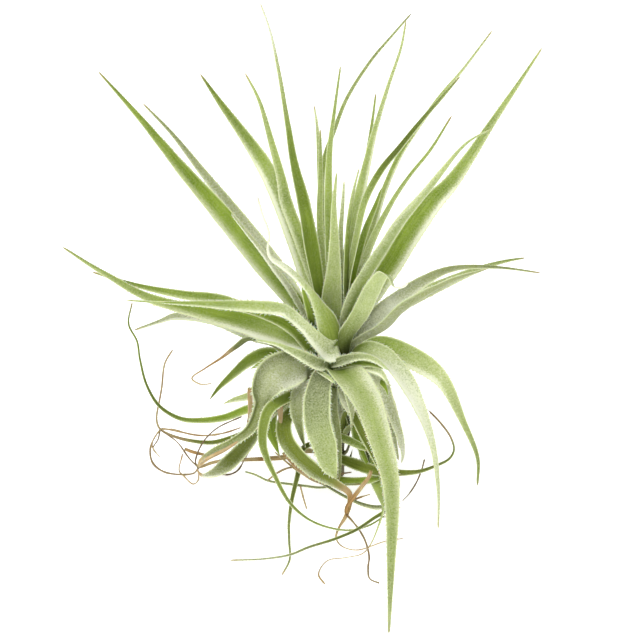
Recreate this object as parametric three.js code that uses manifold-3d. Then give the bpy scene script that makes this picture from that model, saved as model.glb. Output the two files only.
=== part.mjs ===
// An air plant standing on a surface: a short stem that carries a rosette of tapering, channelled leaves.
// Millimetres, +Z up. The origin is the middle of the stem's flat foot, on the surface.
// The fan of young leaves stands up behind, old leaves droop in front, and the dry ones lie on the surface.

import * as THREE from 'three';
import { mergeVertices } from 'three/addons/utils/BufferGeometryUtils.js';
import Module from 'manifold-3d';

const wasm = await Module();
wasm.setup();

// Driving dimensions
const HEART_HEIGHT = 62; // height of the rosette's heart above the surface
const SIGHT_TILT = THREE.MathUtils.degToRad(35); // the leaves were measured looking down by this angle
const SIGHT_DISTANCE = 1100; // from the heart to the eye that measured them
const GAP = 0.3; // clear space between two leaves, or a leaf and the stem
const LAY_HEIGHT = 0.45; // middle of a thin leaf that lies on the surface

const STEM_TOP = 65;
const STEM_SIDES = 12;
const STEM_TOP_RADIUS = 1.1;
const STEM_BELLY_RADIUS = 3.4;
const STEM_FOOT_RADIUS = 3.8;
const STEM_RINGS = [0, 0.12, 0.3, 0.5, 0.7, 0.85, 0.95]; // as shares of its height

const STUB_COUNT = 24; // withered leaf stubs left on the lower stem
const STUB_FIRST = 3.5; // height of the lowest one
const STUB_STEP = 1.3; // each next one sits this much higher
const STUB_TURN = THREE.MathUtils.degToRad(137.5); // and this far round the stem
const STUB_FRONT_TOP = 12; // higher than this the front is left to the old leaves
const STUB_LENGTH = 9;
const STUB_WIDTH = 4.2;
const STUB_SUNK = 1.2; // how deep its root lies in the stem
const STUB_SPREAD = 3.2; // how far its tip stands off the stem
const STUB_RINGS = 4;
const STUB_SEED = 11;

const ROOT_TOP = 63.5; // where the youngest leaf grows from the stem
const ROOT_STEP = 0.8; // each older leaf grows this much lower
const ROOT_RISE = 3.2; // a leaf first rises this far along the stem
const ROOT_LEAN = 1.6; // and moves this far out meanwhile
const CLASP = 0.5; // share of its width that a leaf has where it grows from the stem
const CLASP_MOST = 4.6; // a leaf is never wider than this there

const EDGE_THICKNESS = 0.6;
const MIDRIB_LEAST = 0.7;
const MIDRIB_MOST = 1.3;
const CHANNEL = 0.15; // depth of the channel along a leaf, as a share of its width
const TURN_MOST = THREE.MathUtils.degToRad(38); // how far a blade rolls towards the light
const TURN_FROM = 0.03; // share of its length where it starts to roll
const TURN_UNTIL = 0.35; // and where it has rolled all the way
const RINGS_PER_SPAN = 1.6; // rings of corners between two points of a leaf's route
const WIRE_RINGS_PER_SPAN = 3;
const WIRE_THICKNESS = 0.9;

const GREEN = 0x7f9a4a;
const PALE = 0xb4c294;
const GREY = 0x93a07c;
const DRY = 0xa67c4a;

// Every row of a route is [across, rise, back, width].
// across and rise are read on a sheet held square to the line of sight through the heart.
// back is how far the point then lies behind the heart, and null lays it on the surface.
// A route starts near the stem and ends at the tip.

const YOUNG = [
  { name: 'leaf_heart_needle', paint: GREEN, route: [
    [1.6, 28, 3.2, 2.4], [1.8, 48, 4.4, 2], [2.6, 60, 5.2, 1.5], [3, 67.6, 6, 0.8]] },
  { name: 'leaf_heart', paint: GREEN, route: [
    [-1.8, 10, 1.6, 8.5], [-1.8, 22, 1, 8.5], [-1, 32, 0, 6], [-0.8, 44, -1, 4], [-1, 58, -2, 2.2],
    [0, 71, -3, 0.8]] },
  { name: 'leaf_fan_middle', paint: GREEN, route: [
    [-1.2, 20, 4.4, 4.2], [-2.2, 36, 6.4, 4.2], [-3.2, 60, 8, 3.4], [-2.8, 80, 10, 2.4],
    [-1.2, 94, 11.5, 1.6], [1.4, 113.6, 13, 0.8]] },
  { name: 'leaf_heart_right', paint: GREEN, route: [
    [4, 28, -0.8, 2.8], [4.8, 50, 0.4, 2.4], [6.6, 62.8, 1.6, 1.8], [9, 72.8, 2.6, 0.8]] },
  { name: 'leaf_fan_dark_needle', paint: GREEN, route: [
    [-4.6, 28, 8, 2.8], [-6.6, 52, 13, 2.8], [-6.4, 70, 16, 2.2], [-6.6, 88.4, 20, 0.8]] },
  { name: 'leaf_fan_tallest', paint: GREEN, route: [
    [-7.4, 22, 1, 8], [-10.4, 42, 4, 8], [-13.6, 60, 8, 6.2], [-17.4, 76, 12, 4.2], [-20, 92, 16, 2.8],
    [-23.6, 112.8, 22, 1.8], [-26.8, 127.6, 27, 1.1], [-30.8, 138.8, 31, 0.8]] },
  { name: 'leaf_fan_right_middle', paint: GREEN, route: [
    [3.6, 30, 7, 4.4], [6.4, 48, 10, 4.6], [8.8, 60, 13, 4.4], [12.4, 76, 18, 3.2], [15, 87, 21, 2.4],
    [20.6, 106, 28, 1.6], [25.6, 121.2, 33, 1.2], [27.6, 132, 36, 0.8]] },
  { name: 'leaf_fan_bowed', paint: GREEN, route: [
    [-4, 32, 11, 2.6], [-6, 58, 18, 2.4], [-5, 76, 23, 2], [-1, 88, 26, 1.8], [4, 100.8, 31, 1.6],
    [13.6, 116, 39, 1.4], [22, 126, 46, 1.1], [29.6, 134.8, 52, 0.8]] },
  { name: 'leaf_heart_bright', paint: GREEN, route: [
    [6.4, 27, 3, 3.2], [8.8, 38, 7, 3.2], [12, 48.8, 10, 3], [16, 58.8, 13, 2], [18, 64.8, 14, 0.8]] },
  { name: 'leaf_fan_right', paint: GREEN, route: [
    [5, 26, 0.5, 3.4], [8.4, 46, 2.5, 3.4], [11.6, 60, 6, 3.4], [17.6, 71.6, 10, 3.4],
    [25.6, 81.6, 14, 2.8], [33.6, 91.6, 18, 2.4], [41.6, 100.8, 22, 1.8], [49.2, 109.6, 26, 0.8]] },
  { name: 'leaf_fan_left_needle', paint: GREEN, route: [
    [-3.6, 26, 15, 3.2], [-5.6, 50, 24, 3], [-6.8, 72, 32, 2.2], [-8, 90.8, 38, 1.2],
    [-9.2, 98, 41, 0.8]] },
  { name: 'leaf_fan_right_needle', paint: GREEN, route: [
    [3.8, 28, 13, 2.8], [6.8, 48, 20, 2.6], [11.2, 72, 29, 2], [14, 90, 36, 1.4],
    [15.6, 102.8, 41, 0.8]] },
  { name: 'leaf_front_curled', paint: PALE, route: [
    [3.6, 4, -7.6, 6.6], [9.6, 14, -14, 7.4], [14.4, 24, -22, 7.4], [19.4, 30.6, -33, 6.6],
    [21.8, 28.8, -43, 4], [23, 25.6, -49, 2.4], [26.4, 25.2, -55, 1.4], [28.8, 27.2, -60, 0.8]] },
  { name: 'leaf_heart_left', paint: PALE, route: [
    [-2, 3, -7, 8], [-5.2, 13, -10, 8.4], [-9.6, 21.6, -12, 6.8], [-14.4, 27.6, -14, 4.8],
    [-20.4, 33.2, -17, 2.4], [-26, 36.6, -20, 1.2], [-27.4, 40, -21, 1], [-26.8, 46, -23, 0.9],
    [-29.6, 54, -26, 0.8], [-31.6, 61.2, -29, 0.7]] },
  { name: 'leaf_fan_right_channelled', paint: PALE, route: [
    [4.4, 11, -1.6, 6.6], [7, 20, -2.6, 7.4], [12.8, 31.2, -3.5, 7.4], [19.6, 42, -2.5, 7],
    [25.6, 51.2, -0.5, 6], [35.6, 63.2, 2.5, 4.8], [41.6, 70.8, 4, 3.8], [49.6, 80.8, 6, 2.2],
    [55, 85.2, 7, 1.4], [62.4, 88.8, 8, 0.8]] },
  { name: 'leaf_fan_right_thin', paint: GREEN, route: [
    [7, 22, 4, 3], [10.8, 34, 5, 3.2], [14.4, 44, 5.5, 3], [22.8, 60.4, 8.5, 2],
    [29.6, 70.4, 10.5, 1.6], [37.6, 80.4, 12.5, 1.4], [46, 94, 15, 0.8]] },
  { name: 'leaf_fan_left_thin', paint: GREEN, route: [
    [-6.6, 21, 8, 5], [-14.4, 44, 14, 5.2], [-20.4, 60, 19, 5], [-22, 68, 22, 4], [-26.4, 84, 28, 2.8],
    [-31.2, 100, 34, 1.6], [-36.8, 110.8, 38, 0.8]] },
  { name: 'leaf_fan_far_right_thin', paint: GREEN, route: [
    [6, 20, 11, 3.2], [14.4, 48, 18, 3], [18.4, 62, 21, 2.6], [24.8, 77.2, 27, 2.4], [31.6, 88, 31, 2],
    [41.6, 102, 38, 1.8], [50, 112, 43, 1.4], [62, 128, 53, 0.8]] },
  { name: 'leaf_fan_left', paint: GREEN, route: [
    [-9.4, 20, 12, 6], [-17, 45, 23, 7], [-25.6, 67.2, 31, 7], [-30.4, 76, 35, 6.6],
    [-38.4, 87.6, 40, 4.6], [-46.4, 98.4, 45, 3], [-54.8, 110.4, 50, 0.8]] },
  { name: 'leaf_fan_far_right', paint: GREEN, route: [
    [7.4, 10.4, 6.5, 7.6], [15.6, 24, 9.5, 9], [22.8, 35.2, 12.5, 9], [28, 44, 14.5, 9],
    [33.2, 52, 16, 8.8], [39.2, 60, 19, 8], [45.6, 66.8, 21, 6.6], [53.6, 78, 25, 4.8],
    [61.6, 90.4, 29, 3.4], [73.6, 108.4, 35, 1.8], [82, 121.2, 39, 0.8]] },
  { name: 'leaf_fan_left_grey', paint: GREY, route: [
    [-11.6, 13.4, 9, 5], [-22.4, 32, 20, 5.4], [-38.4, 52.4, 32, 5], [-54.4, 72, 41, 3.4],
    [-66, 86.4, 47, 1.8], [-77.6, 98.4, 53, 0.8]] },
  { name: 'leaf_fan_far_left', paint: GREEN, route: [
    [-12, 11.6, 1.4, 8], [-29.6, 34, 8, 9.4], [-46.4, 54.4, 15, 8.6], [-62.4, 72.8, 22, 5.8],
    [-78.4, 92, 28, 3], [-95.6, 111.2, 35, 0.8]] },
];

const SPREADING = [
  { name: 'leaf_left_pale', paint: PALE, route: [
    [-6.4, -0.4, -5, 8], [-10, 5.6, -5.6, 8], [-14.8, 11.2, -6, 7.4], [-22.4, 15.6, -6, 6],
    [-30.4, 17.6, -6, 5], [-38.4, 17.8, -5, 4], [-54.4, 18.4, -3, 2.4], [-70.4, 18.8, -1, 1.4],
    [-84, 19.6, 2, 0.8]] },
  { name: 'leaf_right_front', paint: GREY, route: [
    [8, 1.5, -2.5, 7.6], [19.6, 9.6, -2, 8], [25.6, 16, -1, 7.6], [33.6, 21.6, 1, 6.4],
    [41.6, 26, 3, 4.6], [49.6, 29.6, 4.5, 2.8], [60.8, 32.8, 6, 0.8]] },
  { name: 'leaf_right_pale', paint: PALE, route: [
    [5.6, -3.2, -8, 7], [11.6, 0, -12, 9], [17.6, -1.6, -15, 9.4], [23.6, -6.4, -20, 9],
    [30.4, -16.8, -28, 7.4], [35.6, -28, -35, 4.6], [39.2, -40, -41, 2.8], [41.2, -56, -46, 1.6],
    [41.2, -71.2, -50, 0.8]] },
  { name: 'leaf_right_long', paint: GREY, route: [
    [8.6, 5.4, 2.4, 7.4], [19.6, 16, 7, 8], [25.6, 20.8, 11, 7.2], [33.6, 26.8, 15, 5.4],
    [41.6, 31.2, 19, 3.6], [49.6, 33.2, 22, 2.6], [65.6, 33.2, 27, 1.5], [81.6, 31.2, 31, 0.8]] },
  { name: 'leaf_left_broad', paint: GREEN, route: [
    [-9.4, 1, -1.6, 8.4], [-18.4, 4.8, 0, 10.4], [-30.4, 8.8, 2, 10.4], [-38.4, 11.2, 4, 9.6],
    [-54.4, 15.2, 9, 7], [-74.4, 20.4, 16, 4.4], [-94.4, 31.2, 26, 2.4], [-109.6, 40.8, 34, 0.8]] },
  { name: 'leaf_front_long', paint: GREEN, route: [
    [-0.6, -8.6, -9, 7.4], [2.8, -8.8, -15, 9.6], [6.8, -12, -24, 11.4], [12.4, -20, -37, 10.8],
    [18, -36, -57, 8.6], [22, -52, -74, 6.4], [22.8, -68, -89, 4.6], [22.4, -84, -101, 3.2],
    [22, -100, -109.5, 1.8], [21.6, -113, null, 0.9]] },
  { name: 'leaf_back_left', paint: GREEN, route: [
    [-3, 10, 12, 6.5], [-7, 24, 30, 6.5], [-10, 36, 52, 4.8], [-10, 40, 70, 2.6], [-9, 38, 84, 0.8]] },
  { name: 'leaf_right_arched', paint: GREEN, route: [
    [9, -3, -4.8, 7.4], [16.8, 1.4, -5, 9], [25.6, -0.8, -5.5, 9.4], [37.6, -7.2, -10, 8],
    [43.6, -13.2, -13, 5.6], [50.8, -28, -20, 2.8], [56.8, -42.8, -26, 1.6], [56.8, -54, -28, 0.8]] },
  { name: 'leaf_left_behind', paint: GREEN, route: [
    [-10.4, 2, 5, 6.4], [-26.4, 10, 13, 6.4], [-44.4, 19.2, 22, 5.4], [-62.4, 22, 30, 4],
    [-78.4, 25.2, 38, 2.4], [-97.6, 30.8, 48, 0.8]] },
  { name: 'leaf_right_behind', paint: GREEN, route: [
    [7.6, 5, 10, 6.2], [25.6, 18, 23, 6.2], [41.6, 26, 34, 4.8], [57.6, 32.8, 45, 2.8],
    [67.6, 35.8, 51, 1.6], [75.6, 37.2, 56, 0.8]] },
  { name: 'leaf_front_left_folded', paint: GREY, route: [
    [-10.4, -6.2, -6.4, 8], [-17.6, -7.2, -12, 12], [-24.4, -9.6, -17, 12.4], [-28.4, -15.2, -18, 10],
    [-29.6, -21.6, -16, 6], [-34.4, -32, -13, 4.6], [-43.2, -40.8, -10, 3.6], [-48.4, -44, -9, 2.6],
    [-52.6, -45, -8, 1]] },
  { name: 'leaf_front_broad', paint: PALE, route: [
    [-5.2, -10.2, -10, 8], [-7.6, -19.6, -18, 11.2], [-6.4, -32, -23, 10], [-3.2, -44, -27, 7.4],
    [0.4, -51, -29.5, 3], [2.2, -54.4, -30.5, 1]] },
  { name: 'leaf_back', paint: GREEN, route: [
    [3, 6, 12, 6], [4.4, 16, 32, 6], [5, 17, 50, 5], [5, 10, 66, 3.2], [5, -2, 78, 1]] },
];

const OLD = [
  { name: 'leaf_left_grey', paint: GREY, route: [
    [-12, -1, 5.6, 6], [-34.4, 6.6, 15, 6], [-48.4, 12, 20, 5], [-64.4, 13.2, 26, 3.4],
    [-70.4, 11.2, 29, 2.2], [-80.8, 7.6, 33, 0.8]] },
  { name: 'leaf_front_grey', paint: GREY, route: [
    [-11.6, -12.4, -5.4, 4.4], [-14.6, -18, -7.4, 5], [-15, -27, -8.6, 4.2], [-13.4, -36.4, -9.6, 1]] },
  { name: 'leaf_left_dry_tip', paint: DRY, route: [
    [-12.4, -5.8, 0, 3.6], [-24.4, -1, 3.5, 3], [-35.2, 4, 8, 2.6], [-40.4, 0.8, 11, 1.8],
    [-45.6, -3.2, 14, 1.1], [-52.4, -7.6, 17, 0.8], [-57.6, -11.6, 19, 0.8], [-54.4, -13.8, 16, 0.8],
    [-49.6, -13.6, 12, 0.7]] },
  { name: 'leaf_front_sweep', paint: PALE, route: [
    [-12.4, -16.4, -9, 5], [-18.4, -18.8, -15, 5], [-26.4, -23.6, -21, 5], [-28.8, -30, -23, 4.4],
    [-29, -38, -24, 3.4], [-27.2, -44, -25, 2.6], [-24.4, -50, -27, 2], [-18.4, -60.8, -31, 1.6],
    [-12, -66.8, -35, 1.2], [-4.4, -70.4, -39, 1], [5.6, -72, -41.5, 0.9], [13.6, -70, -39, 0.9],
    [20, -66, -34, 0.8]] },
  { name: 'leaf_left_dark', paint: GREEN, route: [
    [-12.4, -8, 5, 5], [-26.4, -1.4, 10, 5], [-34.4, -4, 12, 4.8], [-40.4, -8.8, 13, 3.8],
    [-46.4, -14.8, 13, 2.2], [-50.4, -20, 11, 0.8]] },
  { name: 'leaf_right_lower', paint: GREY, route: [
    [9.6, -7.6, -6, 5.6], [14.4, -8.8, -11, 5.8], [19.2, -13.6, -15.5, 5.4], [21.6, -20, -18, 5],
    [25, -28.4, -20, 3.4], [27.6, -36, -22, 1.8], [27.6, -42, -23, 1], [26.4, -45, -23, 0.8]] },
  { name: 'leaf_back_right', paint: GREEN, route: [
    [6.6, 1, 11, 5.6], [11, 6, 28, 5.6], [13, 2, 44, 4.4], [13, -8, 54, 2.6], [13, -16.5, null, 1]] },
  { name: 'leaf_left_hook', paint: GREEN, route: [
    [-12, -16.4, -1.5, 4.8], [-24.4, -20.4, -2, 4.6], [-35.6, -24, -1.5, 4], [-44.4, -27.2, 0.5, 3.2],
    [-54.4, -28.4, 3.5, 2.4], [-62.4, -27.6, 6, 1.9], [-70.4, -22.8, 8, 1.5], [-75.6, -14.4, 10, 1.2],
    [-78.4, -4, 11, 1], [-79.6, 3.2, 11, 0.9], [-83, 10, 11, 0.9], [-81.6, 18.8, 10, 0.8]] },
  { name: 'leaf_back_left_low', paint: GREEN, route: [
    [-8, -1, 12, 5.4], [-20, 5, 26, 5.4], [-32, 7.4, 38, 4.2], [-45, 9.6, 48, 2.8],
    [-57, 13.4, 54, 1]] },
  { name: 'leaf_left_short', paint: GREEN, route: [
    [-13, -13.6, 2.5, 4.6], [-26.4, -15.2, 5, 4.6], [-35.6, -18.8, 6.5, 3.6], [-40.4, -20, 7.5, 2.4],
    [-44.8, -21.6, 8.5, 0.8]] },
  { name: 'leaf_front_narrow', paint: GREY, route: [
    [-1, -15, -8.5, 4], [-0.8, -24, -14, 3.8], [1, -34, -18, 3.2], [1.6, -44, -21, 2.2],
    [1.6, -52, -23, 1]] },
  { name: 'leaf_front_under', paint: GREY, route: [
    [5, -14, -10, 4], [7.6, -21.6, -20, 4.4], [11.4, -31, -29, 3.4], [14, -39, -35, 1]] },
  { name: 'leaf_left_lower', paint: GREY, route: [
    [-14.4, -18.8, -5, 4.4], [-23.2, -22.4, -8, 4.4], [-28.4, -28, -8, 4.2], [-32.4, -32.8, -6.5, 4],
    [-38.4, -41.2, -5.5, 3.6], [-45.6, -48.4, -6, 3], [-51.2, -51.2, -7, 2],
    [-54.4, -50.6, -6.6, 0.9]] },
  { name: 'leaf_back_low', paint: GREY, route: [
    [-3, -6, 10, 5], [-7, -4, 28, 5], [-9, -3, 42, 4.2], [-10, -9, 54, 2.8], [-10, -15.5, null, 1]] },
  { name: 'leaf_left_loop', paint: GREY, route: [
    [-14.4, -20, 2, 4.2], [-24.4, -26, 3.5, 3.8], [-35.2, -32.8, 3.5, 3], [-42.4, -35.6, 4.5, 2.4],
    [-49.6, -37.2, 6, 2], [-58.4, -36.4, 8.5, 1.5], [-65.6, -34.4, 11, 1.1], [-70.4, -31.6, 13.5, 0.9],
    [-71.6, -28, 15.5, 0.8], [-70.4, -20, 18, 0.8], [-69.6, -15.2, 19, 0.8], [-68.4, -5.6, 21, 0.8],
    [-65.2, 0, 21, 0.8]] },
  { name: 'leaf_right_hook', paint: GREY, route: [
    [4, -40, -9, 5], [9.6, -45.6, -14, 5], [17.6, -48.4, -19, 4.2], [25.6, -48.8, -23.5, 2.4],
    [33.6, -48.4, -25, 1.7], [40.4, -46, -25, 1.4], [45.6, -43.2, -23, 1.2], [47.4, -39.6, -21, 1],
    [46, -34.6, -18, 0.9], [42, -29, -15, 0.9], [37.2, -24, -12, 0.8]] },
  { name: 'leaf_right_lower_inner', paint: GREY, route: [
    [10, -18, -6, 3.6], [16.4, -22.4, -10, 3.4], [22, -30, -14, 2.6], [24, -38, -15.5, 1.8],
    [25.2, -44, -16, 0.8]] },
  { name: 'leaf_right_prop', paint: GREY, route: [
    [8.4, -14, 3.6, 4.4], [16, -14, 8, 4.4], [21.6, -18.6, 13, 3.6], [24.6, -30, 17.6, 2.4],
    [25.6, -39, null, 1]] },
  { name: 'leaf_floor_curl', paint: GREEN, route: [
    [6, -39, -13, 4.6], [14.4, -51.2, -24, 4.6], [17.6, -58, -31, 3.4], [19.2, -63, -37.5, 2.2],
    [17.2, -70.8, -44.5, 1.5], [14, -78, -52, 1.1], [10.8, -81.4, -56, 0.9], [3.6, -83, null, 0.8],
    [-2.8, -84, null, 0.8], [-6.6, -89.6, null, 0.8], [-4, -93.6, null, 0.8]] },
  { name: 'leaf_floor_long', paint: GREY, route: [
    [5.4, -24, -12, 3.6], [11.2, -34, -25, 3.6], [17.6, -46, -33, 3], [22.4, -57, -35, 2.4],
    [21.6, -63, -34.5, 2], [15.6, -67, -38, 1.6], [8, -72, -46, 1.5], [-0.4, -75.6, -50, 1.4],
    [-10.4, -78.8, -54.4, 1.3], [-18.4, -82, -60, 1.2], [-28.4, -83.6, -60.8, 1],
    [-42, -84.2, null, 0.8]] },
  { name: 'leaf_floor_back_sweep', paint: GREY, route: [
    [6.6, -30.4, -9, 3.6], [14.4, -38, -15.5, 3.6], [23.4, -50, -27, 3], [23.4, -58.4, -31.5, 2.6],
    [19.6, -62.6, -31.4, 2.4], [12, -62, -31.2, 2], [5.6, -59.4, -32.6, 1.6], [-6.4, -52.8, -31, 1.3],
    [-14.4, -48.8, -29.6, 1.1], [-24.4, -40.8, -28, 0.8]] },
  { name: 'leaf_floor_straight', paint: GREY, route: [
    [-13.2, -40, -10, 3], [-14.8, -48.8, -17, 2.2], [-17.2, -59.2, -25, 1.7], [-18.4, -68, null, 1.3],
    [-18.4, -76, null, 1.1], [-18.2, -84, null, 0.9], [-21.2, -90, null, 0.8]] },
];

// A dry leaf that ends in two fibres, with a second dry strip lying against it.
const FRAYED = {
  name: 'leaf_front_frayed', paint: GREY, route: [
    [-13.6, -23.2, -7.4, 6], [-17.6, -30, -15, 7.6], [-16.4, -36, -19, 7.6], [-12.4, -42.8, -23, 6.4],
    [-4.4, -49.6, -27, 4.6], [3.6, -55.6, -29, 2.8], [5.8, -60, -29, 2], [4.4, -66, -31, 1.8],
    [1.6, -70.8, null, 0.9], [0.4, -75.2, null, 0.9], [2.8, -78.4, null, 0.9], [8.8, -79.8, null, 0.9],
    [19.6, -76.4, null, 0.9], [27.6, -75, null, 0.8]],
  wires: [
    [[4.4, -65.6, -31], [7.6, -69.2, null], [11.6, -75.2, null], [13.6, -82.4, null], [13.2, -86.8, null],
      [14, -91.4, null], [17.6, -93, null]],
  ],
};

// Old fibres, knotted round one dry leaf that leaves the stem low down on the left.
const TANGLE = {
  name: 'dry_tangle', paint: DRY, route: [
    [-11.6, -40.4, 1, 2.4], [-19.6, -42.8, 1, 2.2], [-28.4, -43.6, 1.2, 1.9], [-36.4, -44, 1.4, 1.7],
    [-48.4, -45, 1, 1.5], [-55.2, -47.6, -2, 1.4]],
  wires: [
    [[-54.6, -47.4, -1.8], [-58.4, -43.6, -1], [-63.2, -37.2, 1.4], [-70.2, -32.2, 8.4]],
    [[-54.8, -47.4, -2], [-56.6, -49.4, -1.4], [-60.4, -50, null], [-68.4, -49, null],
      [-73.2, -45.2, 4.4], [-74, -39.2, 7], [-70.2, -32.2, 8.4], [-69, -31.4, 8.8]],
    [[-55, -47.2, -2], [-56, -44.8, -4], [-54, -38.8, -5.4], [-50.8, -34.4, -7], [-46.4, -30.8, -8],
      [-37.6, -26.8, -8]],
    [[-61.2, -42, -3.6], [-62.4, -48.8, null], [-60.8, -50.4, null], [-56.8, -53.8, null],
      [-54.8, -52, -5.4], [-55, -47.4, -2]],
    [[-47.6, -48.8, -3], [-43.2, -50, -2.4], [-39.2, -48.4, -1.6], [-36.4, -44, 1.4], [-34.4, -40.4, 2]],
  ],
};

// The eye that looks at the heart along the line of sight
function eye() {
  const back = -SIGHT_DISTANCE * Math.cos(SIGHT_TILT);
  return new THREE.Vector3(0, back, HEART_HEIGHT + SIGHT_DISTANCE * Math.sin(SIGHT_TILT));
}

// The point that is seen at (across, rise), moved along its line of sight to where it really is
function placed([across, rise, back]) {
  const from = eye();
  const level = HEART_HEIGHT + rise * Math.cos(SIGHT_TILT);
  const sheet = new THREE.Vector3(across, rise * Math.sin(SIGHT_TILT), level);
  const share = back === null
    ? (LAY_HEIGHT - from.z) / (sheet.z - from.z)
    : (back - from.y) / (sheet.y - from.y);
  return from.lerp(sheet, share);
}

function stemRadius(height) {
  const up = height / STEM_TOP;
  const foot = THREE.MathUtils.lerp(STEM_FOOT_RADIUS, STEM_BELLY_RADIUS, Math.min(1, up * 2));
  return THREE.MathUtils.lerp(foot, STEM_TOP_RADIUS, Math.max(0, up * 2 - 1) ** 2);
}

// The first two points of a leaf: where it grows from the stem, and where it starts to bend away
function rooted(first, order) {
  const aim = Math.atan2(first.y, first.x);
  const outward = new THREE.Vector3(Math.cos(aim), Math.sin(aim), 0);
  const height = Math.min(ROOT_TOP - order * ROOT_STEP, first.z - ROOT_RISE - 1);
  const radius = stemRadius(height) + GAP + MIDRIB_MOST / 2;
  const start = outward.clone().multiplyScalar(radius).setZ(height);
  const bend = outward.clone().multiplyScalar(radius + ROOT_LEAN).setZ(height + ROOT_RISE);
  return [start, bend];
}

// Where a leaf runs and how wide it is at each point of its route
function spine(leaf, order) {
  const points = leaf.route.map(placed);
  const widths = leaf.route.map((row) => row[3]);
  const clasp = Math.min(CLASP_MOST, Math.max(widths[0] * CLASP, 1.6));
  const [start, bend] = rooted(points[0], order);
  return {
    curve: new THREE.CatmullRomCurve3([start, bend, ...points], false, 'centripetal'),
    widths: [clasp, clasp * 1.1, ...widths],
  };
}

function widthAt(widths, along) {
  const place = along * (widths.length - 1);
  const before = Math.min(widths.length - 2, Math.floor(place));
  return THREE.MathUtils.lerp(widths[before], widths[before + 1], place - before);
}

// A frame at each ring: the tangent, and the direction that the leaf's upper face looks in
function frames(curve, rings) {
  const list = [];
  let face = null;
  for (let ring = 0; ring <= rings; ring += 1) {
    const along = ring / rings;
    const point = curve.getPoint(along);
    const tangent = curve.getTangent(along);
    if (face === null) face = new THREE.Vector3(-point.x, -point.y, 0);
    face = face.clone().addScaledVector(tangent, -face.dot(tangent)).normalize();
    list.push({ along, point, tangent, face });
  }
  return list;
}

// How far the blade has to roll to turn its nearer face to the light
function rollToLight(frame, point) {
  const light = eye().sub(point).normalize();
  light.addScaledVector(frame.tangent, -light.dot(frame.tangent)).normalize();
  const across = new THREE.Vector3().crossVectors(frame.tangent, frame.face);
  const sign = Math.sign(light.dot(frame.face)) || 1;
  const roll = Math.atan2(sign * light.dot(across), sign * light.dot(frame.face));
  return THREE.MathUtils.clamp(roll, -TURN_MOST, TURN_MOST);
}

// The six corners of a blade's section: the upper face from edge to edge, then the lower face back
function bladeSection(width, grow) {
  const half = width / 2 + grow;
  const lift = CHANNEL * width;
  const middle = THREE.MathUtils.clamp(0.5 + 0.08 * width, MIDRIB_LEAST, MIDRIB_MOST) / 2 + grow;
  const edge = EDGE_THICKNESS / 2 + grow;
  const upper = [[-half, lift + edge], [0, middle], [half, lift + edge]];
  const lower = [[half, lift - edge], [0, -middle], [-half, lift - edge]];
  return [...upper, ...lower];
}

function wireSection(grow) {
  const radius = WIRE_THICKNESS / 2 + grow;
  return [[-radius, -radius * 0.6], [0, radius], [radius, -radius * 0.6]];
}

// One closed skin from rings of corners, with the two faces split along the same diagonals
function skin(rings, corners, caps) {
  const position = rings.flat().flatMap((corner) => corner.toArray());
  const index = [];
  for (let ring = 0; ring < rings.length - 1; ring += 1) {
    for (let side = 0; side < corners; side += 1) {
      const next = (side + 1) % corners;
      const a = ring * corners + side;
      const b = ring * corners + next;
      const c = a + corners;
      const d = b + corners;
      if (side < corners / 2) index.push(a, b, d, a, d, c);
      else index.push(a, b, c, b, d, c);
    }
  }
  const last = (rings.length - 1) * corners;
  for (const [a, b, c] of caps) {
    index.push(a, c, b);
    index.push(last + a, last + b, last + c);
  }
  const geometry = new THREE.BufferGeometry();
  geometry.setAttribute('position', new THREE.Float32BufferAttribute(position, 3));
  geometry.setIndex(index);
  return geometry;
}

function solid(geometry) {
  const merged = mergeVertices(geometry, 1e-5);
  const mesh = new wasm.Mesh({
    numProp: 3,
    vertProperties: new Float32Array(merged.attributes.position.array),
    triVerts: new Uint32Array(merged.index.array),
  });
  return new wasm.Manifold(mesh);
}

function placeCorner(frame, roll, [x, y]) {
  const across = new THREE.Vector3().crossVectors(frame.tangent, frame.face);
  const turned = frame.face.clone().applyAxisAngle(frame.tangent, roll);
  const side = across.applyAxisAngle(frame.tangent, roll);
  return frame.point.clone().addScaledVector(side, x).addScaledVector(turned, y);
}

// A blade's section swept along a curve, rolled over the first third of the way
function sweep(curve, widths, rings, roll, grow) {
  const corners = frames(curve, rings).map((frame, ring) => {
    const turn = roll * THREE.MathUtils.smoothstep(ring / rings, TURN_FROM, TURN_UNTIL);
    return bladeSection(widthAt(widths, frame.along), grow).map((corner) => placeCorner(frame, turn, corner));
  });
  return solid(skin(corners, 6, [[0, 1, 4], [0, 4, 5], [1, 2, 3], [1, 3, 4]]));
}

// One leaf, rolled so that its middle faces the light
function blade(leaf, order, grow = 0) {
  const { curve, widths } = spine(leaf, order);
  const rings = Math.ceil(RINGS_PER_SPAN * (widths.length - 1));
  const middle = frames(curve, rings)[Math.floor(rings / 2)];
  return sweep(curve, widths, rings, rollToLight(middle, middle.point), grow);
}

function wire(route, grow = 0) {
  const curve = new THREE.CatmullRomCurve3(route.map(placed), false, 'centripetal');
  const rings = WIRE_RINGS_PER_SPAN * (route.length - 1);
  const section = wireSection(grow);
  const corners = frames(curve, rings).map((frame) => section.map((corner) => placeCorner(frame, 0, corner)));
  return solid(skin(corners, 3, [[0, 1, 2]]));
}

function leafSolid(leaf, order, grow = 0) {
  const fibres = (leaf.wires ?? []).map((route) => wire(route, grow));
  return fibres.reduce((whole, fibre) => whole.add(fibre), blade(leaf, order, grow));
}

// Repeatable random numbers from 0 to 1
function seeded(seed) {
  let state = seed;
  return () => {
    state = (state * 16807) % 2147483647;
    return state / 2147483647;
  };
}

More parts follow.
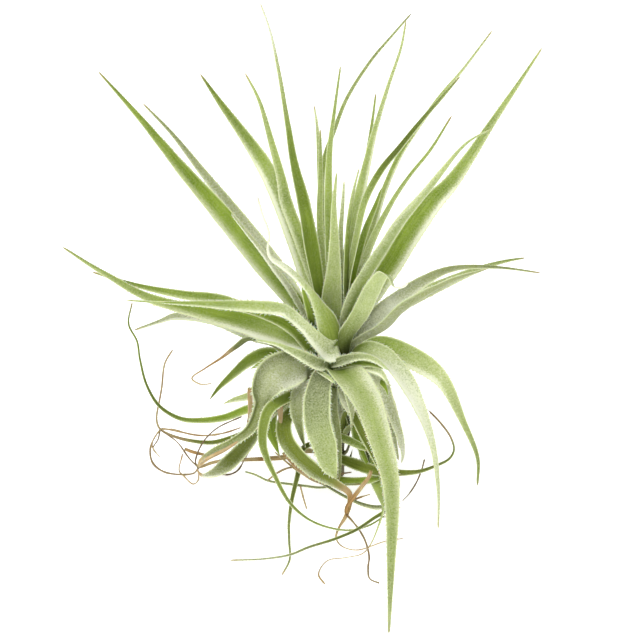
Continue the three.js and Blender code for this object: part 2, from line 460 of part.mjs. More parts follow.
// A withered leaf stub: its root is sunk in the stem, its tip stands off
function stub(angle, height, length, grow) {
  const radius = stemRadius(height);
  const at = (out, up) => new THREE.Vector3(Math.cos(angle) * out, Math.sin(angle) * out, height + up);
  const curve = new THREE.CatmullRomCurve3(
    [
      at(radius - STUB_SUNK, 0),
      at(radius + STUB_SPREAD * 0.3, length * 0.22),
      at(radius + STUB_SPREAD * 0.7, length * 0.55),
      at(radius + STUB_SPREAD, length),
    ],
    false,
    'centripetal',
  );
  const widths = [0.8, 1, 0.8, 0.35].map((share) => share * STUB_WIDTH);
  return sweep(curve, widths, STUB_RINGS, 0, grow);
}

function turnedStem(grow) {
  const profile = [new THREE.Vector2(0, 0)];
  for (const up of STEM_RINGS) {
    profile.push(new THREE.Vector2(stemRadius(up * STEM_TOP) + grow, up * STEM_TOP));
  }
  profile.push(new THREE.Vector2(0, STEM_TOP + grow));
  const body = new THREE.LatheGeometry(profile, STEM_SIDES);
  body.deleteAttribute('normal');
  body.deleteAttribute('uv');
  body.rotateX(Math.PI / 2);
  return solid(body);
}

// The stem: a turned body with a flat foot and the stubs of its first leaves
function stemSolid(grow = 0) {
  const draw = seeded(STUB_SEED);
  let whole = turnedStem(grow);
  for (let count = 0; count < STUB_COUNT; count += 1) {
    const angle = count * STUB_TURN + 0.3 * draw();
    const height = STUB_FIRST + count * STUB_STEP;
    const length = STUB_LENGTH * (0.7 + 0.6 * draw());
    const facesBack = Math.sin(angle) > 0.1;
    if (height < STUB_FRONT_TOP || facesBack) whole = whole.add(stub(angle, height, length, grow));
  }
  return whole;
}

function largest(shape) {
  return shape.decompose().reduce((best, piece) => (piece.volume() > best.volume() ? piece : best));
}

function near(a, b) {
  const one = a.boundingBox();
  const two = b.boundingBox();
  return [0, 1, 2].every((axis) => one.min[axis] < two.max[axis] && two.min[axis] < one.max[axis]);
}

function meshOf(name, shape, paint) {
  const { vertProperties, triVerts } = shape.getMesh();
  const geometry = new THREE.BufferGeometry();
  geometry.setAttribute('position', new THREE.BufferAttribute(new Float32Array(vertProperties), 3));
  geometry.setIndex(new THREE.BufferAttribute(new Uint32Array(triVerts), 1));
  geometry.computeVertexNormals();
  const material = new THREE.MeshStandardMaterial({ color: paint, roughness: 0.85, metalness: 0 });
  const mesh = new THREE.Mesh(geometry, material);
  mesh.name = name;
  return mesh;
}

// Each leaf is pressed clear of the stem and of the younger leaves that it clasps.
// What lies on the surface is flat underneath.
function build() {
  const plant = new THREE.Group();
  const stem = stemSolid();
  plant.add(meshOf('stem', stem, DRY));
  const taken = [stemSolid(GAP)];
  const leaves = [...YOUNG, ...SPREADING, ...OLD, FRAYED, TANGLE];
  leaves.forEach((leaf, order) => {
    let body = leafSolid(leaf, order).trimByPlane([0, 0, 1], 0);
    for (const room of taken) {
      if (near(body, room)) body = body.subtract(room);
    }
    taken.push(leafSolid(leaf, order, GAP));
    plant.add(meshOf(leaf.name, largest(body), leaf.paint));
  });
  return plant;
}

export default build();
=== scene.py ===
import math
from dataclasses import dataclass

import bpy
import numpy as np
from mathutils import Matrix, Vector


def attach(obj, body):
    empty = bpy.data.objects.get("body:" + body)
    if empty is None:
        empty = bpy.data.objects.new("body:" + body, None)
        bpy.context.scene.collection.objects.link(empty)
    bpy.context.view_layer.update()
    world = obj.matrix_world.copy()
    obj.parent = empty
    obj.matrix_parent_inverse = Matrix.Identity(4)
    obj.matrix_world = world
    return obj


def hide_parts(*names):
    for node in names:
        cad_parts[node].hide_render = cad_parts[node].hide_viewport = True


# The looks of an air plant that stands on a surface. Metres, +Z up, the same frame as the solids.
# Each leaf follows the route of its solid, with a finer section, silvery scales and a fringe.

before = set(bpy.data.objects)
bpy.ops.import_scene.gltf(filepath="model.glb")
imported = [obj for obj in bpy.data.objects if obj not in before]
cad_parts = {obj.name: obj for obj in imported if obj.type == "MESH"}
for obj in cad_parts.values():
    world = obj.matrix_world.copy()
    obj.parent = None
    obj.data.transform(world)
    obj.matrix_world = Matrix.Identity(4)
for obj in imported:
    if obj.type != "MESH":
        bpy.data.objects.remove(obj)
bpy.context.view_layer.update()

# Driving dimensions, the same as those of the solids
HEART_HEIGHT = 0.062
SIGHT_TILT = math.radians(35)
SIGHT_DISTANCE = 1.1
GAP = 0.0003
LAY_HEIGHT = 0.00045
MM = 0.001  # the routes are written in millimetres

STEM_TOP = 0.065
STEM_TOP_RADIUS = 0.0011
STEM_BELLY_RADIUS = 0.0034
STEM_FOOT_RADIUS = 0.0038
STUB_COUNT = 24
STUB_FIRST = 0.0035
STUB_STEP = 0.0013
STUB_TURN = math.radians(137.5)
STUB_FRONT_TOP = 0.012
STUB_LENGTH = 0.009
STUB_WIDTH = 0.0042
STUB_SUNK = 0.0012
STUB_SPREAD = 0.0032
STUB_SEED = 11
STUB_TURN_MORE = 0.3  # a stub turns on by up to this angle more, in radians
STUB_SHORTEST = 0.7  # the shortest stub against STUB_LENGTH, and how much longer the longest one is
STUB_LONGER = 0.6
STUB_BEHIND = 0.1  # above STUB_FRONT_TOP stubs stand only where the sine of their direction is over this

ROOT_TOP = 0.0635
ROOT_STEP = 0.0008
ROOT_RISE = 0.0032
ROOT_LEAN = 0.0016
ROOT_STAND_OFF = GAP + 0.00065
TURN_MOST = math.radians(38)
TURN_FROM = 0.03
TURN_UNTIL = 0.35
RINGS_PER_SPAN = 1.6

# What only the looks have
RING_STEP = 0.001  # distance between two rings of a fine blade
RINGS_LEAST = 12
ROUTE_SAMPLES = 600
SMOOTHED_RINGS = 4  # a width is evened out over so many rings before and after it
CELLS_ACROSS = 12
EDGE_THICKNESS = 0.0002
EDGE_MOST = 0.4  # share of a leaf's width that the thickness of its edge stays below
MIDRIB_THICKNESS = 0.0009
MIDRIB_MOST = 0.5  # the same for its midrib
TIP_WIDTH = 0.00022
TIP_SLOPE = 0.4  # a tip is never wider than this share of what is left of the leaf
EDGE_WAVE = 0.0005
EDGE_WAVE_RINGS = 6
EDGE_WAVE_HALF = 0.003  # the waves are lower where half the leaf is narrower than this
BENT_UNTIL = 0.6  # share of a half blade over which it bends up from the midrib
SHEATH = 0.95  # width of a leaf's sheath against its first width
SHEATH_MOST = 0.0095
RIM_WIDTH = 0.0006
RIM_SHARE = 0.1  # a rim is never wider than this share of its leaf
PAINTED_MARGIN_SHEEN = 1.0  # painted sheen: more silver on a margin that points down, for its pale look at a grazing angle
UNDERSIDE_SILVER = 0.15
SILVER_MOST = 1.4
DRY_BLEND = 0.06  # share of a leaf's length over which it turns dry, before and after the middle of it
GRAIN_APART = 0.01  # keeps the pattern of the underside apart from that of the upper face
CENTRED_FROM = 0.1  # share of a blade's length from which its section moves down to its route
CENTRED_UNTIL = 0.5
FRINGE_STEP = 0.0008
FRINGE_FROM = 0.02
FRINGE_UNTIL = 0.99
FRINGE_LEAN = (0.3, 1.3)  # how far a scale points towards the tip
FRINGE_TILT = (-0.5, 0.5)
FRINGE_REACH = (0.4, 1.4)
FRINGE_LENGTH = 0.0012
FRINGE_WIDTH = 0.00032
FRINGE_THICKNESS = 0.0001
FRINGE_FULL_FROM = 0.005  # the fringe is shorter where a leaf is narrower than this
FRINGE_SHORTEST = 0.3
SPIKE_FACES = ((0, 2, 1), (0, 1, 3), (1, 2, 3), (2, 0, 3))
FIBRE_THICKNESS = 0.0009
FIBRE_TAPER = 0.7
FIBRE_FLATNESS = 0.7
FIBRE_UNEVENNESS = 0.25
FIBRE_WAVE_RINGS = 4
FIBRE_DARKNESS = (0.4, 1)
FIBRE_SIDES = 7
FIBRE_FINENESS = 0.7  # distance between its rings against that of a blade
STEM_RINGS = 60
STEM_CORNERS = 40
STEM_INSET = 0.98
KNOB_DEPTH = 0.06
KNOBS_ALONG = 70
KNOBS_AROUND = 5
KNOBS_TWIST = 40
# A stub's route as shares of its spread and its length, each with a share of its width
STUB_ROUTE = ((-STUB_SUNK / STUB_SPREAD, 0, 0.8), (0.3, 0.22, 1), (0.7, 0.55, 0.8), (1, 1, 0.35))
FLOOR_CLEARANCE = 0.00002  # nothing reaches below this height
LOOKS_SEED = 5

# The slots of the leaves' materials
GREEN = "leaf_green"
PALE = "leaf_pale"
GREY = "leaf_grey"
DRY = "leaf_dry"

# Colours have a fourth value, because the sockets want one
OLIVE = (0.075, 0.095, 0.018, 1)
DEEP_SHADE = (0.008, 0.012, 0.003, 1)
FROST = (0.86, 0.88, 0.72, 1)
SCALE_SHADE = (0.72, 0.76, 0.56, 1)
RIM = (0.74, 0.8, 0.46, 1)
STRAW = (0.7, 0.58, 0.33, 1)
RUST = (0.42, 0.25, 0.09, 1)
BARK = (0.07, 0.04, 0.02, 1)
# The stem's dark olive browns are partly its old sheaths and partly painted shade, so that it reads as the
# shade where it shows between leaves
STEM_COLOURS = ((0.16, 0.15, 0.06, 1), (0.03, 0.035, 0.012, 1), (0.2, 0.16, 0.08, 1))
FLOOR_COLOURS = ((0.93, 0.93, 0.93, 1), (0.95, 0.95, 0.95, 1))
WHITE = (1, 1, 1, 1)
SHEEN_TINT = (1.0, 1.0, 0.88, 1)
# For each kind of leaf its deep green, its light green and its silver
LEAF_COLOURS = {
    GREEN: ((0.14, 0.22, 0.01, 1), (0.32, 0.44, 0.05, 1), (0.58, 0.62, 0.35, 1)),
    PALE: ((0.17, 0.26, 0.02, 1), (0.36, 0.46, 0.08, 1), (0.66, 0.7, 0.46, 1)),
    GREY: ((0.12, 0.16, 0.01, 1), (0.26, 0.32, 0.04, 1), (0.48, 0.5, 0.35, 1)),
    DRY: ((0.1, 0.13, 0.01, 1), (0.2, 0.25, 0.03, 1), (0.4, 0.42, 0.3, 1)),
}
SPECKLE = 2.6  # how much the scales vary from place to place
SPECKLE_GRAIN = 1700.0
STREAK_GRAIN = 1400.0
ALONG_LEAF = (1.0, 0.05, 1.0)  # stretches a pattern lengthwise
PATCH_GRAIN = 60.0
DRY_PATCH_GRAIN = 90.0
SCALE_GRAIN = 300.0
STEM_STREAK_GRAIN = 900.0
STEM_PATCH_GRAIN = 120.0
ALONG_STEM = (1.0, 1.0, 0.15)
FLOOR_GRAIN = 3.0
RIM_STRENGTH = 0.75
FLOOR_GLOW = 0.6
FLOOR_REACH = 25.0
WORLD_STRENGTH = 0.62
KEY_STRENGTH = 1.8
KEY_SOFTNESS = math.radians(40)
KEY_DIRECTION = (-0.35, -0.5, 1.0)

# The camera sees what the photograph shows: the rosette's heart falls on this pixel of a square picture
PICTURE_SIDE = 640
HEART_PIXEL = (336, 350)
PIXEL_AT_HEART = 0.0004  # what one pixel spans at the heart
SENSOR_WIDTH = 36

PLACES = (0.0, 0.15, 0.3, 0.5, 1.0)
QUARTERS = (0.12, 0.38, 0.62, 0.88)


@dataclass(frozen=True)
class Form:
    """How a blade stands, at PLACES along it or with one value for all: how far its left and its right
    half rise from the midrib in degrees, and how much wider it is than its solid. turn is the share of
    the solid's roll that it keeps. silver is how much more silver is painted on the left and on the right
    half, a painted sheen for the pale look of a half seen at a grazing angle, and dark how much darker
    these halves are. A facing blade shows its face to the camera all along, and blunt makes its tip
    close more suddenly."""

    left: tuple = (50, 42, 28, 17, 10)
    right: tuple = (50, 42, 28, 17, 10)
    broad: tuple = (1, 1, 1, 1, 0.85)
    turn: float = 1.0
    silver: tuple = (0, 0)
    dark: tuple = (0, 0)
    facing: bool = False
    blunt: float = 1


FLAT = Form(left=(20, 15, 12, 12, 10), right=(20, 15, 12, 12, 10), broad=1, facing=True)


@dataclass
class Leaf:
    """A leaf. silver is how much of it the scales cover and dark how far its green has darkened, both in
    four quarters from its root to its tip or as one value. At the roots, in the heart and in crevices,
    dark is painted shade; further out it darkens some leaves towards olive. From the share dry_from of
    its length on it is dry, and fringe is how long its fringe is against the longest one. slot is its
    material's slot, and fibres are the routes of the fibres that it ends in."""

    name: str
    silver: tuple
    dark: tuple
    dry_from: float
    fringe: float
    route: list
    slot: str = GREEN
    form: Form = Form()
    fibres: tuple = ()


# Every row of a route is (across, rise, back, width) in millimetres. The rows are those of the solids,
# but for many of leaf_front_curled, leaf_heart_left and leaf_left_dry_tip, which the looks refine.
# across and rise are read on a sheet held square to the line of sight through the heart.
# back is how far the point then lies behind the heart, and None lays it on the surface.

YOUNG = [
    Leaf("leaf_heart_needle", (0.4, 0.6, 0.7, 0.8), (0.2, 0, 0, 0), 0.99, 0.3, [
        (1.6, 28, 3.2, 2.4), (1.8, 48, 4.4, 2), (2.6, 60, 5.2, 1.5), (3, 67.6, 6, 0.8)]),
    Leaf("leaf_heart", (0.2, 0.45, 0.5, 0.5), (0.2, 0, 0, 0), 1.0, 0.5, [
        (-1.8, 10, 1.6, 8.5), (-1.8, 22, 1, 8.5), (-1, 32, 0, 6), (-0.8, 44, -1, 4), (-1, 58, -2, 2.2),
        (0, 71, -3, 0.8)]),
    Leaf("leaf_fan_middle", (0.05, 0.2, 0.25, 0.3), (0.5, 0.2, 0.1, 0.2), 0.99, 0.3, [
        (-1.2, 20, 4.4, 4.2), (-2.2, 36, 6.4, 4.2), (-3.2, 60, 8, 3.4), (-2.8, 80, 10, 2.4),
        (-1.2, 94, 11.5, 1.6), (1.4, 113.6, 13, 0.8)]),
    Leaf("leaf_heart_right", (-0.3, -0.3, 0.05, 0.5), (1.1, 0.9, 0.15, 0), 0.99, 0.3, [
        (4, 28, -0.8, 2.8), (4.8, 50, 0.4, 2.4), (6.6, 62.8, 1.6, 1.8), (9, 72.8, 2.6, 0.8)]),
    Leaf("leaf_fan_dark_needle", (0.3, 0.5, 0.45, 0.3), (0.3, 0, 0, 0.3), 0.98, 0.3, [
        (-4.6, 28, 8, 2.8), (-6.6, 52, 13, 2.8), (-6.4, 70, 16, 2.2), (-6.6, 88.4, 20, 0.8)]),
    Leaf("leaf_fan_tallest", (0, 0.03, 0.08, 1), (0.4, 0.25, 0.25, 0), 0.99, 0.4, [
        (-7.4, 22, 1, 8), (-10.4, 42, 4, 8), (-13.6, 60, 8, 6.2), (-17.4, 76, 12, 4.2), (-20, 92, 16, 2.8),
        (-23.6, 112.8, 22, 1.8), (-26.8, 127.6, 27, 1.1), (-30.8, 138.8, 31, 0.8)]),
    Leaf("leaf_fan_right_middle", (0.2, 0.42, 0.4, 0.6), (0.4, 0, 0, 0), 0.98, 0.4, [
        (3.6, 30, 7, 4.4), (6.4, 48, 10, 4.6), (8.8, 60, 13, 4.4), (12.4, 76, 18, 3.2), (15, 87, 21, 2.4),
        (20.6, 106, 28, 1.6), (25.6, 121.2, 33, 1.2), (27.6, 132, 36, 0.8)], form=Form(silver=(0, 0.5))),
    Leaf("leaf_fan_bowed", (0.1, 0.15, 0.3, 0.35), (0.3, 0.2, 0.5, 0.7), 0.99, 0.3, [
        (-4, 32, 11, 2.6), (-6, 58, 18, 2.4), (-5, 76, 23, 2), (-1, 88, 26, 1.8), (4, 100.8, 31, 1.6),
        (13.6, 116, 39, 1.4), (22, 126, 46, 1.1), (29.6, 134.8, 52, 0.8)]),
    Leaf("leaf_heart_bright", (0, 0, 0.15, 0.1), 0, 0.99, 0.3, [
        (6.4, 27, 3, 3.2), (8.8, 38, 7, 3.2), (12, 48.8, 10, 3), (16, 58.8, 13, 2), (18, 64.8, 14, 0.8)]),
    Leaf("leaf_fan_right", (0.3, 0.4, -0.1, 0.15), (0.3, 0, 0.8, 0.6), 0.98, 0.4, [
        (5, 26, 0.5, 3.4), (8.4, 46, 2.5, 3.4), (11.6, 60, 6, 3.4), (17.6, 71.6, 10, 3.4),
        (25.6, 81.6, 14, 2.8), (33.6, 91.6, 18, 2.4), (41.6, 100.8, 22, 1.8), (49.2, 109.6, 26, 0.8)]),
    Leaf("leaf_fan_left_needle", (0.3, 0.35, 0.4, 0.8), (0.2, 0.1, 0, 0), 0.95, 0.3, [
        (-3.6, 26, 15, 3.2), (-5.6, 50, 24, 3), (-6.8, 72, 32, 2.2), (-8, 90.8, 38, 1.2),
        (-9.2, 98, 41, 0.8)]),
    Leaf("leaf_fan_right_needle", (0.1, 0.2, 0.25, 0.3), (0.4, 0.2, 0.1, 0.3), 0.98, 0.3, [
        (3.8, 28, 13, 2.8), (6.8, 48, 20, 2.6), (11.2, 72, 29, 2), (14, 90, 36, 1.4),
        (15.6, 102.8, 41, 0.8)]),
    Leaf("leaf_front_curled", (-0.4, 0.25, 0.22, 1), (1.3, 0.15, 0, 0), 0.99, 0.6, [
        (3.6, 4, -7.6, 6.6), (9.6, 14, -14, 7.4), (14.4, 24, -22, 6.8), (18.9, 30.4, -33, 4.6),
        (21.6, 28.6, -43, 1.8), (23, 25.6, -49, 1.2), (26.4, 25.2, -55, 1), (28.8, 27.2, -60, 0.8)], PALE,
        form=Form(left=(60, 50, 35, 30, 10), right=(60, 50, 30, 20, 10), broad=(1.3, 1.2, 1, 1, 1))),
    Leaf("leaf_heart_left", (-0.3, 0.08, 0.8, 0.95), (0.5, 0.05, 0, 0), 0.99, 0.7, [
        (-1.2, 3, -7, 10.5), (-3.4, 11.2, -9.6, 9), (-6.8, 17.4, -11, 5.2), (-10, 22.8, -12.4, 2.8),
        (-14, 27.4, -14, 2.6), (-20.4, 33, -17, 2.8), (-26, 36.6, -20, 1.4), (-27.4, 40, -21, 1),
        (-26.8, 46, -23, 0.9), (-29.6, 54, -26, 0.8), (-31.6, 61.2, -29, 0.7)], PALE,
        form=Form(left=(60, 50, 35, 20, 10), right=(45, 30, 20, 15, 10), broad=1)),
    Leaf("leaf_fan_right_channelled", (-0.3, 0, 0.2, 0.2), (0.9, 0.3, 0.05, 0.1), 0.99, 0.5, [
        (4.4, 11, -1.6, 6.6), (7, 20, -2.6, 7.4), (12.8, 31.2, -3.5, 7.4), (19.6, 42, -2.5, 7),
        (25.6, 51.2, -0.5, 6), (35.6, 63.2, 2.5, 4.8), (41.6, 70.8, 4, 3.8), (49.6, 80.8, 6, 2.2),
        (55, 85.2, 7, 1.4), (62.4, 88.8, 8, 0.8)], PALE, form=Form(silver=(0, 0.35))),
    Leaf("leaf_fan_right_thin", (0.4, 0.7, 0.35, 0.2), (0.1, 0, 0.05, 0.2), 0.97, 0.3, [
        (7, 22, 4, 3), (10.8, 34, 5, 3.2), (14.4, 44, 5.5, 3), (22.8, 60.4, 8.5, 2),
        (29.6, 70.4, 10.5, 1.6), (37.6, 80.4, 12.5, 1.4), (46, 94, 15, 0.8)]),
    Leaf("leaf_fan_left_thin", (0.15, 0.25, 0.3, 0.45), (0.4, 0.2, 0.1, 0), 0.97, 0.4, [
        (-6.6, 21, 8, 5), (-14.4, 44, 14, 5.2), (-20.4, 60, 19, 5), (-22, 68, 22, 4), (-26.4, 84, 28, 2.8),
        (-31.2, 100, 34, 1.6), (-36.8, 110.8, 38, 0.8)], form=Form(silver=(0.5, 0))),
    Leaf("leaf_fan_far_right_thin", (0.4, 0.5, 0.1, 0.6), (0.2, 0, 0.2, 0.1), 0.98, 0.4, [
        (6, 20, 11, 3.2), (14.4, 48, 18, 3), (18.4, 62, 21, 2.6), (24.8, 77.2, 27, 2.4), (31.6, 88, 31, 2),
        (41.6, 102, 38, 1.8), (50, 112, 43, 1.4), (62, 128, 53, 0.8)], form=Form(silver=(0, 0.6))),
    Leaf("leaf_fan_left", (0.5, 0.55, 0.2, 0.05), (0.1, 0, 0.1, 0.5), 0.98, 0.5, [
        (-9.4, 20, 12, 6), (-17, 45, 23, 7), (-25.6, 67.2, 31, 7), (-30.4, 76, 35, 6.6),
        (-38.4, 87.6, 40, 4.6), (-46.4, 98.4, 45, 3), (-54.8, 110.4, 50, 0.8)], form=Form(silver=(0.7, 0))),
    Leaf("leaf_fan_far_right", (0, 0.05, 0.12, 0.35), (0.4, 0.1, 0.05, 0.1), 0.99, 0.5, [
        (7.4, 10.4, 6.5, 7.6), (15.6, 24, 9.5, 9), (22.8, 35.2, 12.5, 9), (28, 44, 14.5, 9),
        (33.2, 52, 16, 8.8), (39.2, 60, 19, 8), (45.6, 66.8, 21, 6.6), (53.6, 78, 25, 4.8),
        (61.6, 90.4, 29, 3.4), (73.6, 108.4, 35, 1.8), (82, 121.2, 39, 0.8)], form=Form(silver=(0, 0.75))),
    Leaf("leaf_fan_left_grey", (0.9, 0.95, 0.65, 0.35), (0, 0, 0, 0.2), 0.98, 0.5, [
        (-11.6, 13.4, 9, 5), (-22.4, 32, 20, 5.4), (-38.4, 52.4, 32, 5), (-54.4, 72, 41, 3.4),
        (-66, 86.4, 47, 1.8), (-77.6, 98.4, 53, 0.8)], GREY),
    Leaf("leaf_fan_far_left", (0.3, 0.15, 0.05, 0.1), (0, 0.05, 0.05, 0.2), 0.98, 0.5, [
        (-12, 11.6, 1.4, 8), (-29.6, 34, 8, 9.4), (-46.4, 54.4, 15, 8.6), (-62.4, 72.8, 22, 5.8),
        (-78.4, 92, 28, 3), (-95.6, 111.2, 35, 0.8)], form=Form(silver=(0.75, 0))),
]

SPREADING = [
    Leaf("leaf_left_pale", (0.55, 0.5, 0.1, 0.1), (0, 0.05, 0.1, 0.1), 0.99, 0.8, [
        (-6.4, -0.4, -5, 8), (-10, 5.6, -5.6, 8), (-14.8, 11.2, -6, 7.4), (-22.4, 15.6, -6, 6),
        (-30.4, 17.6, -6, 5), (-38.4, 17.8, -5, 4), (-54.4, 18.4, -3, 2.4), (-70.4, 18.8, -1, 1.4),
        (-84, 19.6, 2, 0.8)], PALE,
        form=Form(left=(60, 60, 50, 30, 10), right=(60, 50, 40, 20, 10), broad=(1.2, 1.1, 1, 1, 1),
            turn=0.8)),
    Leaf("leaf_right_front", (0.3, 0.45, 0.3, 0.25), (0.7, 0, 0, 0.1), 0.98, 0.6, [
        (8, 1.5, -2.5, 7.6), (19.6, 9.6, -2, 8), (25.6, 16, -1, 7.6), (33.6, 21.6, 1, 6.4),
        (41.6, 26, 3, 4.6), (49.6, 29.6, 4.5, 2.8), (60.8, 32.8, 6, 0.8)], GREY),
    Leaf("leaf_right_pale", (-0.4, 0.58, 0.97, 0.7), (1.1, 0, 0, 0), 0.99, 0.8, [
        (5.6, -3.2, -8, 7), (11.6, 0, -12, 9), (17.6, -1.6, -15, 9.4), (23.6, -6.4, -20, 9),
        (30.4, -16.8, -28, 7.4), (35.6, -28, -35, 4.6), (39.2, -40, -41, 2.8), (41.2, -56, -46, 1.6),
        (41.2, -71.2, -50, 0.8)], PALE,
        form=Form(left=(50, 40, 30, 25, 10), right=(50, 45, 45, 25, 10), broad=(1.5, 1.4, 1.1, 1, 1),
            turn=0.8, silver=(-0.1, 0.3))),
    Leaf("leaf_right_long", (0.5, 0.95, 0.45, 0.3), (0.1, 0, 0, 0.1), 0.98, 0.5, [
        (8.6, 5.4, 2.4, 7.4), (19.6, 16, 7, 8), (25.6, 20.8, 11, 7.2), (33.6, 26.8, 15, 5.4),
        (41.6, 31.2, 19, 3.6), (49.6, 33.2, 22, 2.6), (65.6, 33.2, 27, 1.5), (81.6, 31.2, 31, 0.8)], GREY,
        form=Form(silver=(0, 0.1))),
    Leaf("leaf_left_broad", (-0.3, 0.3, 0, 0.3), (0.25, 0.05, 0.3, 0.2), 0.99, 0.9, [
        (-9.4, 1, -1.6, 8.4), (-18.4, 4.8, 0, 10.4), (-30.4, 8.8, 2, 10.4), (-38.4, 11.2, 4, 9.6),
        (-54.4, 15.2, 9, 7), (-74.4, 20.4, 16, 4.4), (-94.4, 31.2, 26, 2.4), (-109.6, 40.8, 34, 0.8)],
        form=Form(left=(40, 10, -15, -5, 5), right=(50, 45, 35, 25, 10), silver=(0.7, -0.1))),
    Leaf("leaf_front_long", (-0.5, 0.45, 0.32, 0.35), (1, 0, 0.05, 0.4), 0.99, 0.9, [
        (-0.6, -8.6, -9, 7.4), (2.8, -8.8, -15, 9.6), (6.8, -12, -24, 11.4), (12.4, -20, -37, 10.8),
        (18, -36, -57, 8.6), (22, -52, -74, 6.4), (22.8, -68, -89, 4.6), (22.4, -84, -101, 3.2),
        (22, -100, -109.5, 1.8), (21.6, -113, None, 0.9)],
        form=Form(broad=(1.7, 1.5, 1.25, 1.05, 1), silver=(0.5, 0.35))),
    Leaf("leaf_back_left", 0.3, (0, 0, 0, 0.2), 0.97, 0.7, [
        (-3, 10, 12, 6.5), (-7, 24, 30, 6.5), (-10, 36, 52, 4.8), (-10, 40, 70, 2.6), (-9, 38, 84, 0.8)]),
    Leaf("leaf_right_arched", (0.4, 0.15, 0.72, 0.2), (0, 0.15, 0, 0.6), 0.99, 0.7, [
        (9, -3, -4.8, 7.4), (16.8, 1.4, -5, 9), (25.6, -0.8, -5.5, 9.4), (37.6, -7.2, -10, 8),
        (43.6, -13.2, -13, 5.6), (50.8, -28, -20, 2.8), (56.8, -42.8, -26, 1.6), (56.8, -54, -28, 0.8)],
        form=Form(left=(30, 25, 20, 15, 10), right=(30, 25, 20, 15, 10), broad=1, facing=True)),
    Leaf("leaf_left_behind", (0.6, 0.5, 0.1, 0.05), (0, 0, 0.2, 0.4), 0.98, 0.5, [
        (-10.4, 2, 5, 6.4), (-26.4, 10, 13, 6.4), (-44.4, 19.2, 22, 5.4), (-62.4, 22, 30, 4),
        (-78.4, 25.2, 38, 2.4), (-97.6, 30.8, 48, 0.8)], form=Form(silver=(0.4, 0))),
    Leaf("leaf_right_behind", (0.4, 0.5, 0.6, 0.2), (0, 0, 0, 0.4), 0.97, 0.5, [
        (7.6, 5, 10, 6.2), (25.6, 18, 23, 6.2), (41.6, 26, 34, 4.8), (57.6, 32.8, 45, 2.8),
        (67.6, 35.8, 51, 1.6), (75.6, 37.2, 56, 0.8)]),
    Leaf("leaf_front_left_folded", (0.5, 0.72, 0.2, 0.35), (0, 0, 0.35, 0.1), 0.88, 1.0, [
        (-10.4, -6.2, -6.4, 8), (-17.6, -7.2, -12, 13), (-24.4, -10, -17, 14), (-28.4, -15.6, -18, 11),
        (-29.8, -22, -16.4, 5.4), (-34.4, -32, -13.6, 4), (-41.6, -37.2, -12, 3.2),
        (-48.4, -40.4, -11, 2.6), (-53.6, -44, -10, 1.6), (-55, -46.4, -9, 0.9)], GREY,
        form=Form(left=(40, 20, 10, 20, 10), right=(40, 20, 10, 20, 10), broad=(1.1, 1.1, 1.15, 1, 1),
            silver=(-0.3, -0.4), dark=(0.4, 0.8), facing=True)),
    Leaf("leaf_front_broad", (0.3, 0.3, 0.32, 0.3), (1, 0.9, 0.45, 0.3), 0.99, 1.0, [
        (-5.2, -10.2, -10, 8), (-7.4, -19.6, -18, 11.2), (-7, -30, -22.5, 10.8), (-4.4, -38, -25, 10),
        (-2.4, -46.4, -27.5, 7), (0.6, -51.6, -29, 1.4)], PALE,
        form=Form(left=(45, 35, 25, 20, 10), right=(40, 30, 25, 20, 10), broad=(1.2, 1.05, 1, 1, 1),
            facing=True, blunt=3)),
    Leaf("leaf_back", 0.3, (0, 0, 0, 0.2), 0.97, 0.7, [
        (3, 6, 12, 6), (4.4, 16, 32, 6), (5, 17, 50, 5), (5, 10, 66, 3.2), (5, -2, 78, 1)]),
]

